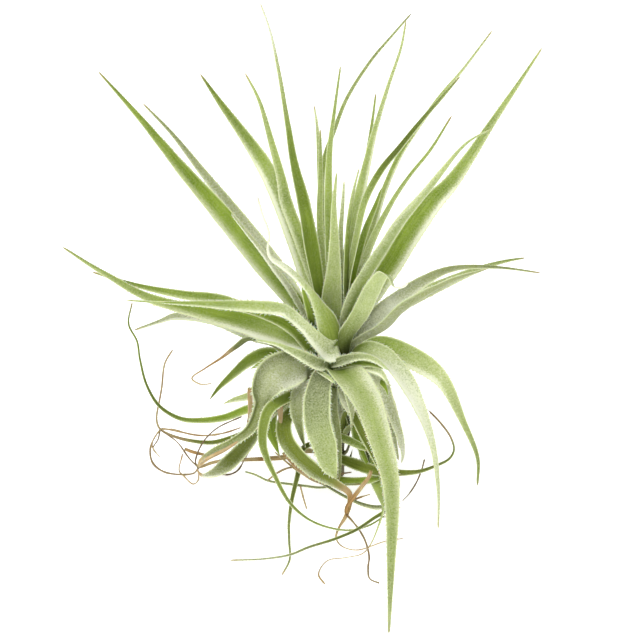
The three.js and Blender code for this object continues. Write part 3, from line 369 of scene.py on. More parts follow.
OLD = [
    Leaf("leaf_left_grey", (0.7, 0.75, 0.7, 0.6), 0, 0.97, 0.7, [
        (-12, -1, 5.6, 6), (-34.4, 6.6, 15, 6), (-48.4, 12, 20, 5), (-64.4, 13.2, 26, 3.4),
        (-70.4, 11.2, 29, 2.2), (-80.8, 7.6, 33, 0.8)], GREY),
    Leaf("leaf_front_grey", (0.6, 0.95, 0.3, 0), (0.2, 0, 0.4, 1), 0.98, 0.8, [
        (-11.2, -12.4, -8, 6), (-14.6, -18, -14, 7.4), (-15.2, -27, -18, 6.6), (-13.4, -35, -20, 4),
        (-12, -39.4, -21, 1)], GREY),
    Leaf("leaf_left_dry_tip", (0.1, 0, 0, 0), (0.6, 0.6, 0.3, 0.2), 0.5, 0.2, [
        (-12.4, -5.8, 0, 3.6), (-24.4, 1.4, 3.5, 3), (-34.4, 4.4, 8, 3.6), (-40.4, 0.8, 11, 2.8),
        (-45.6, -3.2, 14, 1.4), (-52.4, -7.6, 17, 0.8), (-57.6, -11.6, 19, 0.8), (-54.4, -13.8, 16, 0.8),
        (-49.6, -13.6, 12, 0.7)], DRY),
    Leaf("leaf_front_sweep", (-0.1, 0, 0, 0.1), (0.4, 0.55, 0.6, 0.4), 0.99, 0.7, [
        (-12.4, -16.4, -6, 5), (-18.4, -18.8, -12, 5), (-26.4, -23.6, -19.6, 5), (-28.8, -30, -22, 4.4),
        (-29, -38, -24, 3.4), (-27.2, -44, -25, 2.6), (-24.4, -50, -27, 2), (-18.4, -60.8, -31, 1.6),
        (-12, -66.8, -35, 1.2), (-4.4, -70.4, -39, 1), (5.6, -72, -41.5, 0.9), (13.6, -70, -39, 0.9),
        (20, -66, -34, 0.8)], PALE),
    Leaf("leaf_left_dark", 0, (0.4, 0.35, 0.4, 0.6), 0.98, 0.6, [
        (-12.4, -8, 5, 5), (-26.4, -1.8, 10, 6), (-34.4, -4.4, 12, 6), (-40.4, -9.2, 13, 4.6),
        (-46.4, -15, 13, 2.6), (-50.4, -20, 11, 0.8)]),
    Leaf("leaf_right_lower", (0.8, 0.85, 0.65, 0.9), 0, 0.98, 0.8, [
        (9.6, -7.6, -6, 6), (14.4, -8.6, -11, 7.2), (18.6, -13.4, -15.5, 7.2), (20.8, -20, -18, 6.4),
        (23.8, -28.4, -20, 4.8), (26.2, -36, -22, 3), (27, -42, -23, 1.4), (26.4, -45, -23, 0.8)], GREY,
        form=Form(broad=(1, 1, 0.9, 0.75, 1))),
    Leaf("leaf_back_right", 0.3, (0, 0, 0, 0.2), 0.95, 0.7, [
        (6.6, 1, 11, 5.6), (11, 6, 28, 5.6), (13, 2, 44, 4.4), (13, -8, 54, 2.6), (13, -16.5, None, 1)]),
    Leaf("leaf_left_hook", (0.1, 0, -0.1, 0), (0.1, 0.15, 0.8, 0.5), 0.97, 0.5, [
        (-12, -16.4, -1.5, 4.8), (-24.4, -20.4, -2, 4.6), (-35.6, -24, -1.5, 4), (-44.4, -27.2, 0.5, 3.2),
        (-54.4, -28.4, 3.5, 2.4), (-62.4, -27.6, 6, 1.9), (-70.4, -22.8, 8, 1.5), (-75.6, -14.4, 10, 1.2),
        (-78.4, -4, 11, 1), (-79.6, 3.2, 11, 0.9), (-83, 10, 11, 0.9), (-81.6, 18.8, 10, 0.8)]),
    Leaf("leaf_back_left_low", (0.4, 0.4, 0.4, 0.3), (0, 0, 0, 0.2), 0.95, 0.7, [
        (-8, -1, 12, 5.4), (-20, 5, 26, 5.4), (-32, 7.4, 38, 4.2), (-45, 9.6, 48, 2.8),
        (-57, 13.4, 54, 1)]),
    Leaf("leaf_left_short", (0.5, 0.5, 0.5, 0.6), 0, 0.97, 0.5, [
        (-13, -13.6, 2.5, 4.6), (-26.4, -15.2, 5, 4.6), (-35.6, -18.8, 6.5, 3.6), (-40.4, -20, 7.5, 2.4),
        (-44.8, -21.6, 8.5, 0.8)]),
    Leaf("leaf_front_narrow", (0.4, 0.4, 0.3, 0.3), (0.2, 0.2, 0.35, 0.3), 0.97, 0.6, [
        (-1, -15, -8.5, 4), (-0.8, -24, -14, 3.8), (1, -34, -18, 3.2), (1.6, -44, -21, 2.2),
        (1.6, -52, -23, 1)], GREY),
    Leaf("leaf_front_under", (0.6, 0.6, 0.6, 0.5), (0.2, 0.2, 0.2, 0.1), 0.97, 0.8, [
        (3.4, -11, -9, 6), (5.2, -17, -16, 8.4), (6.4, -24, -20, 7), (6.6, -30, -22, 1.4)], GREY),
    Leaf("leaf_left_lower", (0.1, 0.05, -0.1, 0.85), (0.4, 0.6, 0.7, 0), 0.9, 0.6, [
        (-14.4, -18.8, -5, 4.4), (-24, -23, -8.6, 5), (-30, -30, -8.8, 5.4), (-34.4, -36.4, -8, 6),
        (-39.6, -42.4, -7.5, 6.6), (-44.6, -46.8, -8, 6.8), (-49.6, -49.8, -8, 5.6),
        (-53.2, -50.4, -7.6, 4), (-55.6, -48, -6, 1.4)], GREY),
    Leaf("leaf_back_low", 0.4, (0.1, 0.1, 0.1, 0.2), 0.92, 0.7, [
        (-3, -6, 10, 5), (-7, -4, 28, 5), (-9, -3, 42, 4.2), (-10, -9, 54, 2.8),
        (-10, -15.5, None, 1)], GREY),
    Leaf("leaf_left_loop", (0.1, 0, 0, 0), (0.3, 0.4, 0.6, 0.5), 0.5, 0.3, [
        (-14.4, -20, 2, 4.2), (-24.4, -26, 3.5, 3.8), (-35.2, -32.8, 3.5, 3), (-42.4, -35.6, 4.5, 2.4),
        (-49.6, -37.2, 6, 2), (-58.4, -36.4, 8.5, 1.5), (-65.6, -34.4, 11, 1.1), (-70.4, -31.6, 13.5, 0.9),
        (-71.6, -28, 15.5, 0.8), (-70.4, -20, 18, 0.8), (-69.6, -15.2, 19, 0.8), (-68.4, -5.6, 21, 0.8),
        (-65.2, 0, 21, 0.8)], GREY),
    Leaf("leaf_right_hook", (0, 0, 0.1, 0.1), (0.15, 0.3, 0.5, 0.7), 0.8, 0.4, [
        (1, -43.4, -9, 4.6), (8.4, -46, -13.4, 5.6), (17.2, -48.6, -19.6, 4.6), (25.6, -49, -23.5, 3),
        (33.6, -48.4, -25, 1.9), (40.4, -46, -25, 1.4), (45.6, -43.2, -23, 1.2), (47.4, -39.6, -21, 1),
        (46, -34.6, -18, 0.9), (42, -29, -15, 0.9), (37.2, -24, -12, 0.8)], GREY),
    Leaf("leaf_right_lower_inner", (0.5, 0.5, 0.5, 0.55), 0.1, 0.97, 0.6, [
        (10, -18, -6, 3.6), (16.4, -22.4, -10, 3.4), (22, -30, -14, 2.6), (24, -38, -15.5, 1.8),
        (25.2, -44, -16, 0.8)], GREY),
    Leaf("leaf_right_prop", (0.4, 0.4, 0.4, 0.3), (0.2, 0.2, 0.2, 0.3), 0.95, 0.6, [
        (8.4, -14, 3.6, 4.4), (16, -14, 8, 4.4), (21.6, -18.6, 13, 3.6), (24.6, -30, 17.6, 2.4),
        (25.6, -39, None, 1)], GREY),
    Leaf("leaf_floor_curl", (0, 0.05, 0.3, 0.1), (0.1, 0, 0, 0.4), 0.62, 0.4, [
        (7, -26, -7.4, 6), (9.6, -33, -8.4, 8), (11.2, -41, -9.4, 8.4), (15.2, -51.2, -14.6, 8),
        (18, -58, -24, 5.6), (19.4, -63, -34, 3), (17.2, -70.8, -44.5, 1.5), (14, -78, -52, 1.1),
        (10.8, -81.4, -56, 0.9), (3.6, -83, None, 0.8), (-2.8, -84, None, 0.8), (-6.6, -89.6, None, 0.8),
        (-4, -93.6, None, 0.8)]),
    Leaf("leaf_floor_long", (-0.2, -0.2, -0.2, 0.45), (0.5, 0.3, 0.8, 0.3), 0.98, 0.4, [
        (5.4, -24, -12, 3.6), (11.2, -34, -25, 3.6), (17.6, -46, -33, 3), (22.4, -57, -35, 2.4),
        (21.6, -63, -34.5, 2), (15.6, -67, -38, 1.6), (8, -72, -46, 1.5), (-0.4, -75.6, -50, 1.4),
        (-10.4, -78.8, -54.4, 1.3), (-18.4, -82, -60, 1.2), (-28.4, -83.6, -60.8, 1),
        (-42, -84.2, None, 0.8)], GREY),
    Leaf("leaf_floor_back_sweep", (0.1, 0.2, 0.2, 0.2), (0.1, 0.3, 0.4, 0.5), 0.92, 0.4, [
        (8.4, -30.4, -12, 3.6), (17, -38, -20, 3.6), (24.6, -50, -30, 3), (25.2, -57, -31, 2.6),
        (22.6, -61.4, -28.4, 2.4), (17, -62.8, -26.4, 2.2), (12, -62, -26, 2), (5.6, -59.4, -25.4, 1.6),
        (-6.4, -52.8, -22, 1.3), (-14.4, -48.8, -21, 1.1), (-24.4, -40.8, -20, 0.8)], GREY),
    Leaf("leaf_floor_straight", (-0.2, -0.4, 0.2, 0.3), (0.4, 0.8, 0.3, 0.3), 0.95, 0.4, [
        (-13.2, -40, -10, 3), (-14.8, -48.8, -17, 2.2), (-17.2, -59.2, -25, 1.7), (-18.4, -68, None, 1.3),
        (-18.4, -76, None, 1.1), (-18.2, -84, None, 0.9), (-21.2, -90, None, 0.8)], GREY),
]

DRIED = [
    Leaf("leaf_front_frayed", (0.1, -0.1, 0.1, 0), (0, 0.45, 0.1, 0.1), 0.45, 0.6, [
        (-14.6, -24, -7.4, 6), (-20, -29.6, -14, 7.4), (-19.4, -35.6, -18, 7.6), (-15.6, -41.4, -22, 7.2),
        (-8.4, -48, -26, 7), (-0.4, -53, -28.5, 4.4), (5.4, -57, -29.4, 2.4), (5.8, -61, -29.6, 1.9),
        (4.4, -66, -31, 1.8), (1.6, -70.8, None, 0.9), (0.4, -75.2, None, 0.9), (2.8, -78.4, None, 0.9),
        (8.8, -79.8, None, 0.9), (19.6, -76.4, None, 0.9), (27.6, -75, None, 0.8)], GREY, fibres=[
        [(4.4, -65.6, -31), (7.6, -69.2, None), (11.6, -75.2, None), (13.6, -82.4, None),
         (13.2, -86.8, None), (14, -91.4, None), (17.6, -93, None)]]),
    Leaf("dry_tangle", 0, (0.1, 0.1, 0.2, 0.3), 0.0, 0.2, [
        (-11.6, -40.4, 1, 2.4), (-19.6, -42.8, 1, 2.2), (-28.4, -43.6, 1.2, 1.9), (-36.4, -44, 1.4, 1.7),
        (-48.4, -45, 1, 1.5), (-55.2, -47.6, -2, 1.4)], DRY, fibres=[
        [(-54.6, -47.4, -1.8), (-58.4, -43.6, -1), (-63.2, -37.2, 1.4), (-70.2, -32.2, 8.4)],
        [(-54.8, -47.4, -2), (-56.6, -49.4, -1.4), (-60.4, -50, None), (-68.4, -49, None),
         (-73.2, -45.2, 4.4), (-74, -39.2, 7), (-70.2, -32.2, 8.4), (-69, -31.4, 8.8)],
        [(-55, -47.2, -2), (-56, -44.8, -4), (-54, -38.8, -5.4), (-50.8, -34.4, -7), (-46.4, -30.8, -8),
         (-37.6, -26.8, -8)],
        [(-61.2, -42, -3.6), (-62.4, -48.8, None), (-60.8, -50.4, None), (-56.8, -53.8, None),
         (-54.8, -52, -5.4), (-55, -47.4, -2)],
        [(-47.6, -48.8, -3), (-43.2, -50, -2.4), (-39.2, -48.4, -1.6), (-36.4, -44, 1.4),
         (-34.4, -40.4, 2)]]),
]

# Narrow leftovers and folds that are too small for solids of their own, by how they look: the same four
# values as a leaf, and the slot. The shade straps are no leaves but dark sheets of painted shade, laid
# into gaps between leaves. They show their face to the camera all along, and the last number of a row
# of their routes is how wide they look.
SILVERY = ((0.5, 0.72, 0.75, 0.6), (0.6, 0.1, 0, 0), 1.1, 1.0)
STRAP_LOOKS = {
    "green_strap": ((-0.2, -0.2, -0.1, 0), (0.5, 0.3, 0.2, 0.2), 1.1, 0.3, GREEN),
    "dull_strap": ((0.1, 0.1, 0.1, 0), 0.4, 0.75, 0.3, GREEN),
    # painted shade: a near-black green sheet for the shade in gaps between leaves
    "painted_shade_strap": (0, 1.5, 1.1, 0.3, GREEN),
    "silver_fold": (*SILVERY, GREY),
    "bright_fold": (*SILVERY, PALE),
    "dull_fold": ((0.2, 0.26, 0.34, 0.5), (0.9, 0.7, 0.3, 0), 1.1, 1.0, PALE),
    "pale_fold": ((0.62, 0.66, 0.25, 0.1), (0.3, 0, 0.15, 0.15), 1.1, 1.0, PALE),
    "olive_fold": ((0.05, 0.05, 0.05, 0.1), (0.6, 0.5, 0.4, 0.3), 1.1, 0.3, GREEN),
    "dry_strap": (0, 0, 0.0, 0.1, DRY),
    "rusty_strap": (0, 0.4, 0.0, 0.1, DRY),
    "thin_strap": (0.3, 0.4, 0.97, 0.2, GREY),
}

STRAPS = [
    ("green_strap", [
        (-4, -52, -12, 3.2), (1, -52, -14, 3.2), (7, -52.4, -16, 3.2), (13, -52, -18, 3),
        (20, -51, -20, 2)]),
    ("dull_strap", [
        (-2, -34.4, -10, 3), (3, -35.2, -13, 3.4), (8.4, -37.6, -17, 3.2), (12.4, -39.6, -20, 2.4),
        (15, -40, -22, 0.8)]),
    ("silver_fold", [
        (-11.2, 11.8, -2, 1.8), (-14.3, 17.3, 0.5, 2.4), (-18, 23.6, 2.5, 2.6), (-24.4, 32, 4.5, 2.2),
        (-30, 39.6, 7, 1.8), (-36, 47, 9.5, 1.4), (-42, 54.4, 12, 0.8)]),
    ("dry_strap", [
        (-34.2, -15.2, -11, 2.2), (-34.2, -19, -11.6, 2.2), (-34.2, -23, -11, 1.8), (-34.6, -27, -10, 1.2),
        (-35.6, -31, -8, 0.5)]),
    ("rusty_strap", [
        (-32.6, -14.4, -10.4, 1.6), (-32.2, -18, -10.6, 2), (-31.8, -22, -10, 1.8), (-31.6, -26, -9, 0.8)]),
    ("rusty_strap", [
        (-22.6, -20, -14, 2.6), (-22.2, -24, -14.4, 2.4), (-22, -28, -14, 1.6), (-22.2, -31.6, -13, 0.5)]),
    ("dry_strap", [
        (14.4, -48, -26, 1.2), (13.2, -51, -28, 1.6), (10, -55.2, -29, 1.8), (7.2, -59, -30, 1.8),
        (4.6, -63, -30.6, 1.6), (4.2, -67, -31, 1)]),
    ("dry_strap", [
        (-60.2, -39.8, 0, 1.2), (-57.6, -40.8, -2, 1.4), (-53.6, -41.8, -4, 1.2), (-50, -42.4, -5, 0.8)]),
    ("dry_strap", [
        (-55, -46.6, -4, 1.6), (-50.4, -43.2, -12, 1.6), (-44, -40, -13, 1.4), (-38.6, -36.4, -13, 0.8)]),
    ("dry_strap", [
        (-21, -41, -17, 1.2), (-15.4, -47.2, -22, 1.4), (-9.4, -51.6, -25, 1.4), (-3.6, -53.8, -27, 1)]),
    ("green_strap", [
        (-9, 8, -3, 3.4), (-10, 14, -6, 3.6), (-12, 20, -8, 2.4), (-13.8, 25.6, -10, 0.7)]),
    ("pale_fold", [
        (1.2, 0.2, -7, 5), (0.4, 0, -7.5, 8.6), (-1.4, -0.4, -8, 10.8), (-4.8, 2, -9, 8),
        (-8.4, 4.9, -9.6, 5.9), (-11.6, 8.3, -9.6, 4.6), (-14.6, 11, -9.4, 4.5), (-17.2, 13.5, -9, 4.8),
        (-20.4, 15.8, -8.6, 4.7), (-23.6, 16.6, -8.4, 4.9), (-30, 17.1, -8, 5), (-34.4, 17.4, -7.4, 4.7),
        (-38.4, 17.6, -7, 4.3), (-46, 17.9, -6, 3.4), (-54, 18.3, -5, 2.4), (-62, 18.5, -4, 1.6),
        (-70, 18.8, -3, 0.8)]),
    ("green_strap", [
        (-10, 1.2, -4, 6), (-16, 7.4, -5, 5), (-21, 10.6, -5, 4.2), (-27, 13, -4.6, 3),
        (-33, 14.7, -4, 1.8), (-38, 15.6, -3.4, 0.8)]),
    ("dull_fold", [
        (-3, -6.5, -10.5, 2.2), (-4.8, -6.1, -12, 4), (-6.8, -5.7, -13.5, 5.2), (-11.2, -3.5, -14.8, 4.6),
        (-15.3, -1.5, -14.4, 3.7), (-19.8, 0.5, -13, 2.4), (-23, 2, -10.5, 1.6), (-27.2, 3, -7.5, 1.2),
        (-32, 3.8, -3, 0.7)]),
    ("dull_fold", [
        (-2, -6.4, -9.5, 1.2), (1.2, -4.7, -11.2, 4.2), (5.2, -3.4, -13.6, 3.6), (8.4, -2.8, -15.6, 2.8),
        (11.2, -2.7, -17.4, 2.8), (14, -3.2, -19, 2.4), (16.8, -4.6, -20.6, 2), (19.2, -6.4, -22, 1.6),
        (21.6, -8.4, -23.5, 1)]),
    ("olive_fold", [
        (-1, -7.2, -9, 1.6), (3, -6.2, -10.5, 2.6), (6.4, -5.4, -12.5, 2.8), (10.8, -5.4, -14.5, 2.6),
        (15.2, -6, -17, 1.8), (19, -7.4, -19, 0.8)]),
    ("dull_fold", [
        (-7.4, -8.4, -13, 0.8), (-5, -9.6, -15, 1.7), (-2.6, -11.2, -18, 1.5), (-0.4, -13.2, -21, 0.7)]),
    ("bright_fold", [
        (11, -6.6, -12, 2), (14, -7.4, -15, 3.2), (17, -8.4, -18, 3.6), (19.6, -11, -20, 2.6),
        (21, -14, -21, 1)]),
    ("green_strap", [
        (17.4, -12, -14, 1.6), (19, -13.6, -16, 2.6), (20.2, -15.6, -17.6, 2.4), (20.8, -18, -18.4, 1)]),
    ("green_strap", [
        (-26, -2.4, -9, 1.6), (-28.6, -4.6, -9.6, 2.6), (-31.6, -6.4, -9.6, 1.8), (-34, -7.6, -9, 0.8)]),
    ("silver_fold", [
        (1.6, -13.6, -11, 2.6), (4, -19.6, -13, 5), (6.6, -25.6, -15, 5), (6.4, -31, -15, 1.6)]),
    ("green_strap", [
        (7.2, -27, -11, 3.2), (8.8, -32, -12, 5.6), (10.6, -38, -13, 5.8), (12, -43, -14, 4.6),
        (13.4, -48, -15, 2)]),
    ("green_strap", [
        (-24, -18, -7, 3), (-25.6, -26, -8, 4.6), (-25.6, -32.8, -9, 4.8), (-23.6, -39.2, -10, 3),
        (-22.4, -42, -10, 1)]),
    # Sheets of painted shade in the dark gaps beside the front leaves
    ("painted_shade_strap", [
        (3.6, -13, -6, 4.6), (4.4, -20, -8, 5.4), (5, -26, -9, 4.4), (5.6, -31, -10, 2)]),
    ("painted_shade_strap", [
        (8.4, -24, -10, 3), (10.4, -32, -12, 3.4), (12.4, -39, -14, 2.4), (13.6, -45, -15, 1)]),
    ("painted_shade_strap", [
        (14, -9, -4, 3), (17, -12.4, -8, 3.4), (19.4, -15, -11, 2.4), (20.6, -18, -12, 1)]),
    ("thin_strap", [
        (-36, -48.8, -8, 0.7), (-32, -50, -10, 0.9), (-26.8, -52.4, -14, 1), (-18.8, -53.6, -17, 1.1),
        (-12, -54.4, -19, 1.1), (-6, -55, -20, 1), (1.2, -54, -20, 0.9), (10.4, -53.6, -18, 0.8)]),
]

# Routes of fine dry fibres: (across, rise, back) in millimetres
FIBRES = [
    [(-69.2, -31.8, 8), (-65.2, -32.2, 6), (-58.4, -33.8, 3), (-54, -34.4, 1), (-49.2, -34.2, -1),
     (-44, -33.2, -2), (-38, -31.2, -4)],
    [(-69.8, -32, 8), (-72.4, -35.2, 6), (-73.4, -38.4, 4), (-71.8, -41.2, 1), (-70.4, -42.8, -1)],
    [(-70.2, -32.2, 8), (-71, -36, 5), (-73, -39.6, 3), (-71.2, -42, 1)],
    [(-26.8, -52, -14), (-23.2, -49.2, -15), (-18.8, -47.2, -16), (-14.8, -46.8, -16)],
    [(-14, -54.4, -21), (-12.8, -59, -25), (-11.4, -63.6, -28)],
    [(-4, -50.4, -14), (0.8, -49.6, -15), (6.4, -48.8, -16)],
    [(8, -59.6, -29), (10, -58.8, -29), (13.8, -57.6, -29)],
    [(35.6, -43.6, -12), (34.4, -48, -14), (32.4, -52.8, -17), (29.6, -57.2, -20), (27, -60, None)],
    [(-12, -47.6, -18), (-8, -49, -19), (-4, -52.4, -21), (0, -54, -22)],
]


def eye():
    """Where the camera is."""
    back = -SIGHT_DISTANCE * math.cos(SIGHT_TILT)
    return np.array([0, back, HEART_HEIGHT + SIGHT_DISTANCE * math.sin(SIGHT_TILT)])


def sheet_point(across, rise):
    """A point of the sheet that is held square to the line of sight through the heart."""
    level = HEART_HEIGHT + rise * math.cos(SIGHT_TILT)
    return np.array([across, rise * math.sin(SIGHT_TILT), level])


def placed(row):
    """The point seen at (across, rise), moved along its line of sight to where it really is."""
    across, rise, back = row[:3]
    source = eye()
    sheet = sheet_point(across * MM, rise * MM)
    if back is None:
        share = (LAY_HEIGHT - source[2]) / (sheet[2] - source[2])
    else:
        share = (back * MM - source[1]) / (sheet[1] - source[1])
    return source + (sheet - source) * share


def placed_route(rows):
    return [placed(row) for row in rows], [row[3] * MM for row in rows]


def stem_radius(height):
    up = height / STEM_TOP
    foot = STEM_FOOT_RADIUS + (STEM_BELLY_RADIUS - STEM_FOOT_RADIUS) * min(1, up * 2)
    return foot + (STEM_TOP_RADIUS - foot) * max(0, up * 2 - 1) ** 2


def beside_stem(aim, distance, height):
    """A point that lies this far from the stem's axis, in the direction aim."""
    return np.array([math.cos(aim), math.sin(aim), 0]) * distance + np.array([0, 0, 1]) * height


def rooted(first, order):
    """Where a leaf grows from the stem, and where it starts to bend away."""
    aim = math.atan2(first[1], first[0])
    height = min(ROOT_TOP - order * ROOT_STEP, first[2] - ROOT_RISE - MM)
    radius = stem_radius(height) + ROOT_STAND_OFF
    return beside_stem(aim, radius, height), beside_stem(aim, radius + ROOT_LEAN, height + ROOT_RISE)


def leaf_route(leaf, order):
    """The points and widths of a leaf, from where its sheath leaves the stem."""
    points, widths = placed_route(leaf.route)
    sheath = min(widths[0] * SHEATH, SHEATH_MOST)
    return [*rooted(points[0], order), *points], [sheath, sheath, *widths]


def curve_points(points, shares):
    """Points on the smooth centripetal curve through all the given points."""
    points = np.asarray(points, float)
    before = 2 * points[0] - points[1]
    after = 2 * points[-1] - points[-2]
    chain = np.vstack([before, points, after])
    place = np.clip(shares, 0, 1) * (len(points) - 1)
    span = np.minimum(place.astype(int), len(points) - 2)
    local = (place - span)[:, None]
    p0, p1, p2, p3 = (chain[span + step] for step in range(4))
    gap_before, gap, gap_after = (np.sqrt(np.linalg.norm(end - start, axis=1))[:, None]
                                  for start, end in ((p0, p1), (p1, p2), (p2, p3)))
    leave = ((p1 - p0) / gap_before - (p2 - p0) / (gap_before + gap) + (p2 - p1) / gap) * gap
    arrive = ((p2 - p1) / gap - (p3 - p1) / (gap + gap_after) + (p3 - p2) / gap_after) * gap
    square = -3 * p1 + 3 * p2 - 2 * leave - arrive
    cube = 2 * p1 - 2 * p2 + leave + arrive
    return p1 + leave * local + square * local**2 + cube * local**3


def unit(vectors):
    return vectors / np.linalg.norm(vectors, axis=-1, keepdims=True)


def frames(route_points, shares):
    """The points at these shares of a route, their tangents, and the way the upper face looks."""
    small = 1e-4
    points = curve_points(route_points, shares)
    ahead = curve_points(route_points, np.minimum(shares + small, 1))
    behind = curve_points(route_points, np.maximum(shares - small, 0))
    tangents = unit(ahead - behind)
    faces = np.empty_like(points)
    face = np.array([-points[0][0], -points[0][1], 0])
    for ring, tangent in enumerate(tangents):
        face = face - tangent * face.dot(tangent)
        face = face / np.linalg.norm(face)
        faces[ring] = face
    return points, tangents, faces


def leaf_roll(route_points):
    """How far a leaf rolls to turn its nearer face to the camera, read at its solid's middle ring."""
    rings = math.ceil(RINGS_PER_SPAN * (len(route_points) - 1))
    point, tangent, face = (rows[rings // 2] for rows in frames(route_points, np.linspace(0, 1, rings + 1)))
    towards = unit(eye() - point)
    towards = unit(towards - tangent * towards.dot(tangent))
    across = np.cross(tangent, face)
    sign = 1 if towards.dot(face) >= 0 else -1
    roll = math.atan2(sign * towards.dot(across), sign * towards.dot(face))
    return min(max(roll, -TURN_MOST), TURN_MOST)


def smooth_step(value, low, high):
    share = np.clip((value - low) / (high - low), 0, 1)
    return share * share * (3 - 2 * share)


def read_along(shares, places, values):
    """Reads values that are given at these places, or one value that holds all along."""
    return np.interp(shares, places, np.broadcast_to(values, len(places)))


def wandering(generator, count, every):
    """Smooth random numbers from -1 to 1, one at each of count places."""
    knots = generator.uniform(-1, 1, max(4, int(count / every) + 3))
    place = np.linspace(0, len(knots) - 1.001, count)
    low = place.astype(int)
    share = smooth_step(place - low, 0, 1)
    return knots[low] * (1 - share) + knots[low + 1] * share


def new_object(name, data):
    made = bpy.data.objects.new(name, data)
    bpy.context.scene.collection.objects.link(made)
    return made


class Skin:
    """Collects the corners and faces of one piece, with what its material reads at each corner."""

    def __init__(self):
        self.corners = []
        self.faces = []
        self.values = {"silver": [], "dark": [], "dry": [], "rim": []}
        self.grain = []
        self.count = 0

    def add(self, corners, faces, grain, **values):
        corners = np.array(corners)
        corners[:, 2] = np.maximum(corners[:, 2], FLOOR_CLEARANCE)
        self.corners.append(corners)
        self.faces.extend([index + self.count for index in face] for face in faces)
        self.grain.append(grain)
        for name, store in self.values.items():
            store.append(np.broadcast_to(values.get(name, 0.0), len(corners)))
        self.count += len(corners)

    def build(self, name, material, slot, *nodes):
        mesh = bpy.data.meshes.new(name)
        mesh.from_pydata(np.vstack(self.corners).tolist(), [], self.faces)
        for key, store in self.values.items():
            made = mesh.attributes.new(key, "FLOAT", "POINT")
            made.data.foreach_set("value", np.concatenate(store).astype(np.float32))
        made = mesh.attributes.new("grain", "FLOAT_VECTOR", "POINT")
        made.data.foreach_set("vector", np.vstack(self.grain).astype(np.float32).ravel())
        mesh.polygons.foreach_set("use_smooth", [True] * len(mesh.polygons))
        mesh.update()
        mesh.materials.append(material)
        piece = new_object(name, mesh)
        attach(piece, "root")
        if nodes:
            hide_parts(*nodes)


@dataclass
class Blade:
    """A leaf's fine rings: where they are and how they stand."""

    points: np.ndarray
    tangents: np.ndarray
    faces: np.ndarray
    sides: np.ndarray
    widths: np.ndarray
    shares: np.ndarray
    lengths: np.ndarray


def even_shares(route_points, step):
    """Shares of a route that lie the same distance apart."""
    dense = np.linspace(0, 1, ROUTE_SAMPLES)
    points = curve_points(route_points, dense)
    lengths = np.concatenate([[0], np.cumsum(np.linalg.norm(np.diff(points, axis=0), axis=1))])
    count = max(RINGS_LEAST, int(lengths[-1] / step))
    wanted = np.linspace(0, lengths[-1], count + 1)
    return np.interp(wanted, lengths, dense), wanted


def blade_widths(route_widths, form, shares, lengths):
    """The route's widths at every ring, evened out and closed to a tip."""
    widths = np.interp(shares * (len(route_widths) - 1), np.arange(len(route_widths)), route_widths)
    widths = widths * read_along(shares, PLACES, form.broad)
    window = np.hanning(2 * SMOOTHED_RINGS + 1)
    padded = np.pad(widths, SMOOTHED_RINGS, mode="edge")
    widths = np.convolve(padded, window / window.sum(), mode="valid")
    left = lengths[-1] - lengths
    return np.minimum(widths, TIP_WIDTH + left * TIP_SLOPE * form.blunt)


def fine_blade(route_points, route_widths, form, roll=0):
    """Rings along a route, rolled about it or with their face to the camera."""
    shares, lengths = even_shares(route_points, RING_STEP)
    points, tangents, faces = frames(route_points, shares)
    if form.facing:
        sides = unit(np.cross(tangents, unit(eye() - points)))
        faces = np.cross(sides, tangents)
    else:
        turn = roll * form.turn * smooth_step(shares, TURN_FROM, TURN_UNTIL)
        across = np.cross(tangents, faces)
        cosine = np.cos(turn)[:, None]
        sine = np.sin(turn)[:, None]
        sides = across * cosine - faces * sine
        faces = faces * cosine + across * sine
    widths = blade_widths(route_widths, form, shares, lengths)
    return Blade(points, tangents, faces, sides, widths, shares, lengths)


def tube_faces(rings, corners):
    """The faces of a closed tube: its sides ring by ring, then a cap at each end."""
    faces = []
    last = (rings - 1) * corners
    for low in range(0, last, corners):
        high = low + corners
        for side in range(corners):
            after = (side + 1) % corners
            faces.append([low + side, low + after, high + after, high + side])
    return [*faces, list(range(corners))[::-1], list(range(last, last + corners))]


def section(blade, leaf, generator):
    """The middle surface of every ring: how far sideways and up its corners lie, and how they lean."""
    share = np.sin(np.linspace(-math.pi / 2, math.pi / 2, CELLS_ACROSS + 1))[None, :]
    half = blade.widths[:, None] / 2
    left, right = (np.radians(read_along(blade.shares, PLACES, angles))[:, None]
                   for angles in (leaf.form.left, leaf.form.right))
    lean = np.where(share < 0, -left, right) * smooth_step(np.abs(share), 0, BENT_UNTIL)
    between = (lean[:, 1:] + lean[:, :-1]) / 2

    def from_midrib(parts):
        sums = np.cumsum(parts * np.diff(share), axis=1)
        sums = np.concatenate([np.zeros((len(sums), 1)), sums], axis=1)
        return (sums - sums[:, CELLS_ACROSS // 2, None]) * half

    sideways = from_midrib(np.cos(between))
    upward = from_midrib(np.sin(between))
    centred = smooth_step(blade.shares, CENTRED_FROM, CENTRED_UNTIL)[:, None]
    upward = upward - upward.mean(axis=1, keepdims=True) * centred
    waves = np.stack([wandering(generator, len(half), EDGE_WAVE_RINGS) for _ in range(2)], axis=1)
    wave = np.where(share < 0, waves[:, :1], waves[:, 1:]) * EDGE_WAVE * leaf.fringe * np.abs(share) ** 3
    upward = upward + wave * np.clip(half / EDGE_WAVE_HALF, 0, 1)
    return share, sideways, upward, lean


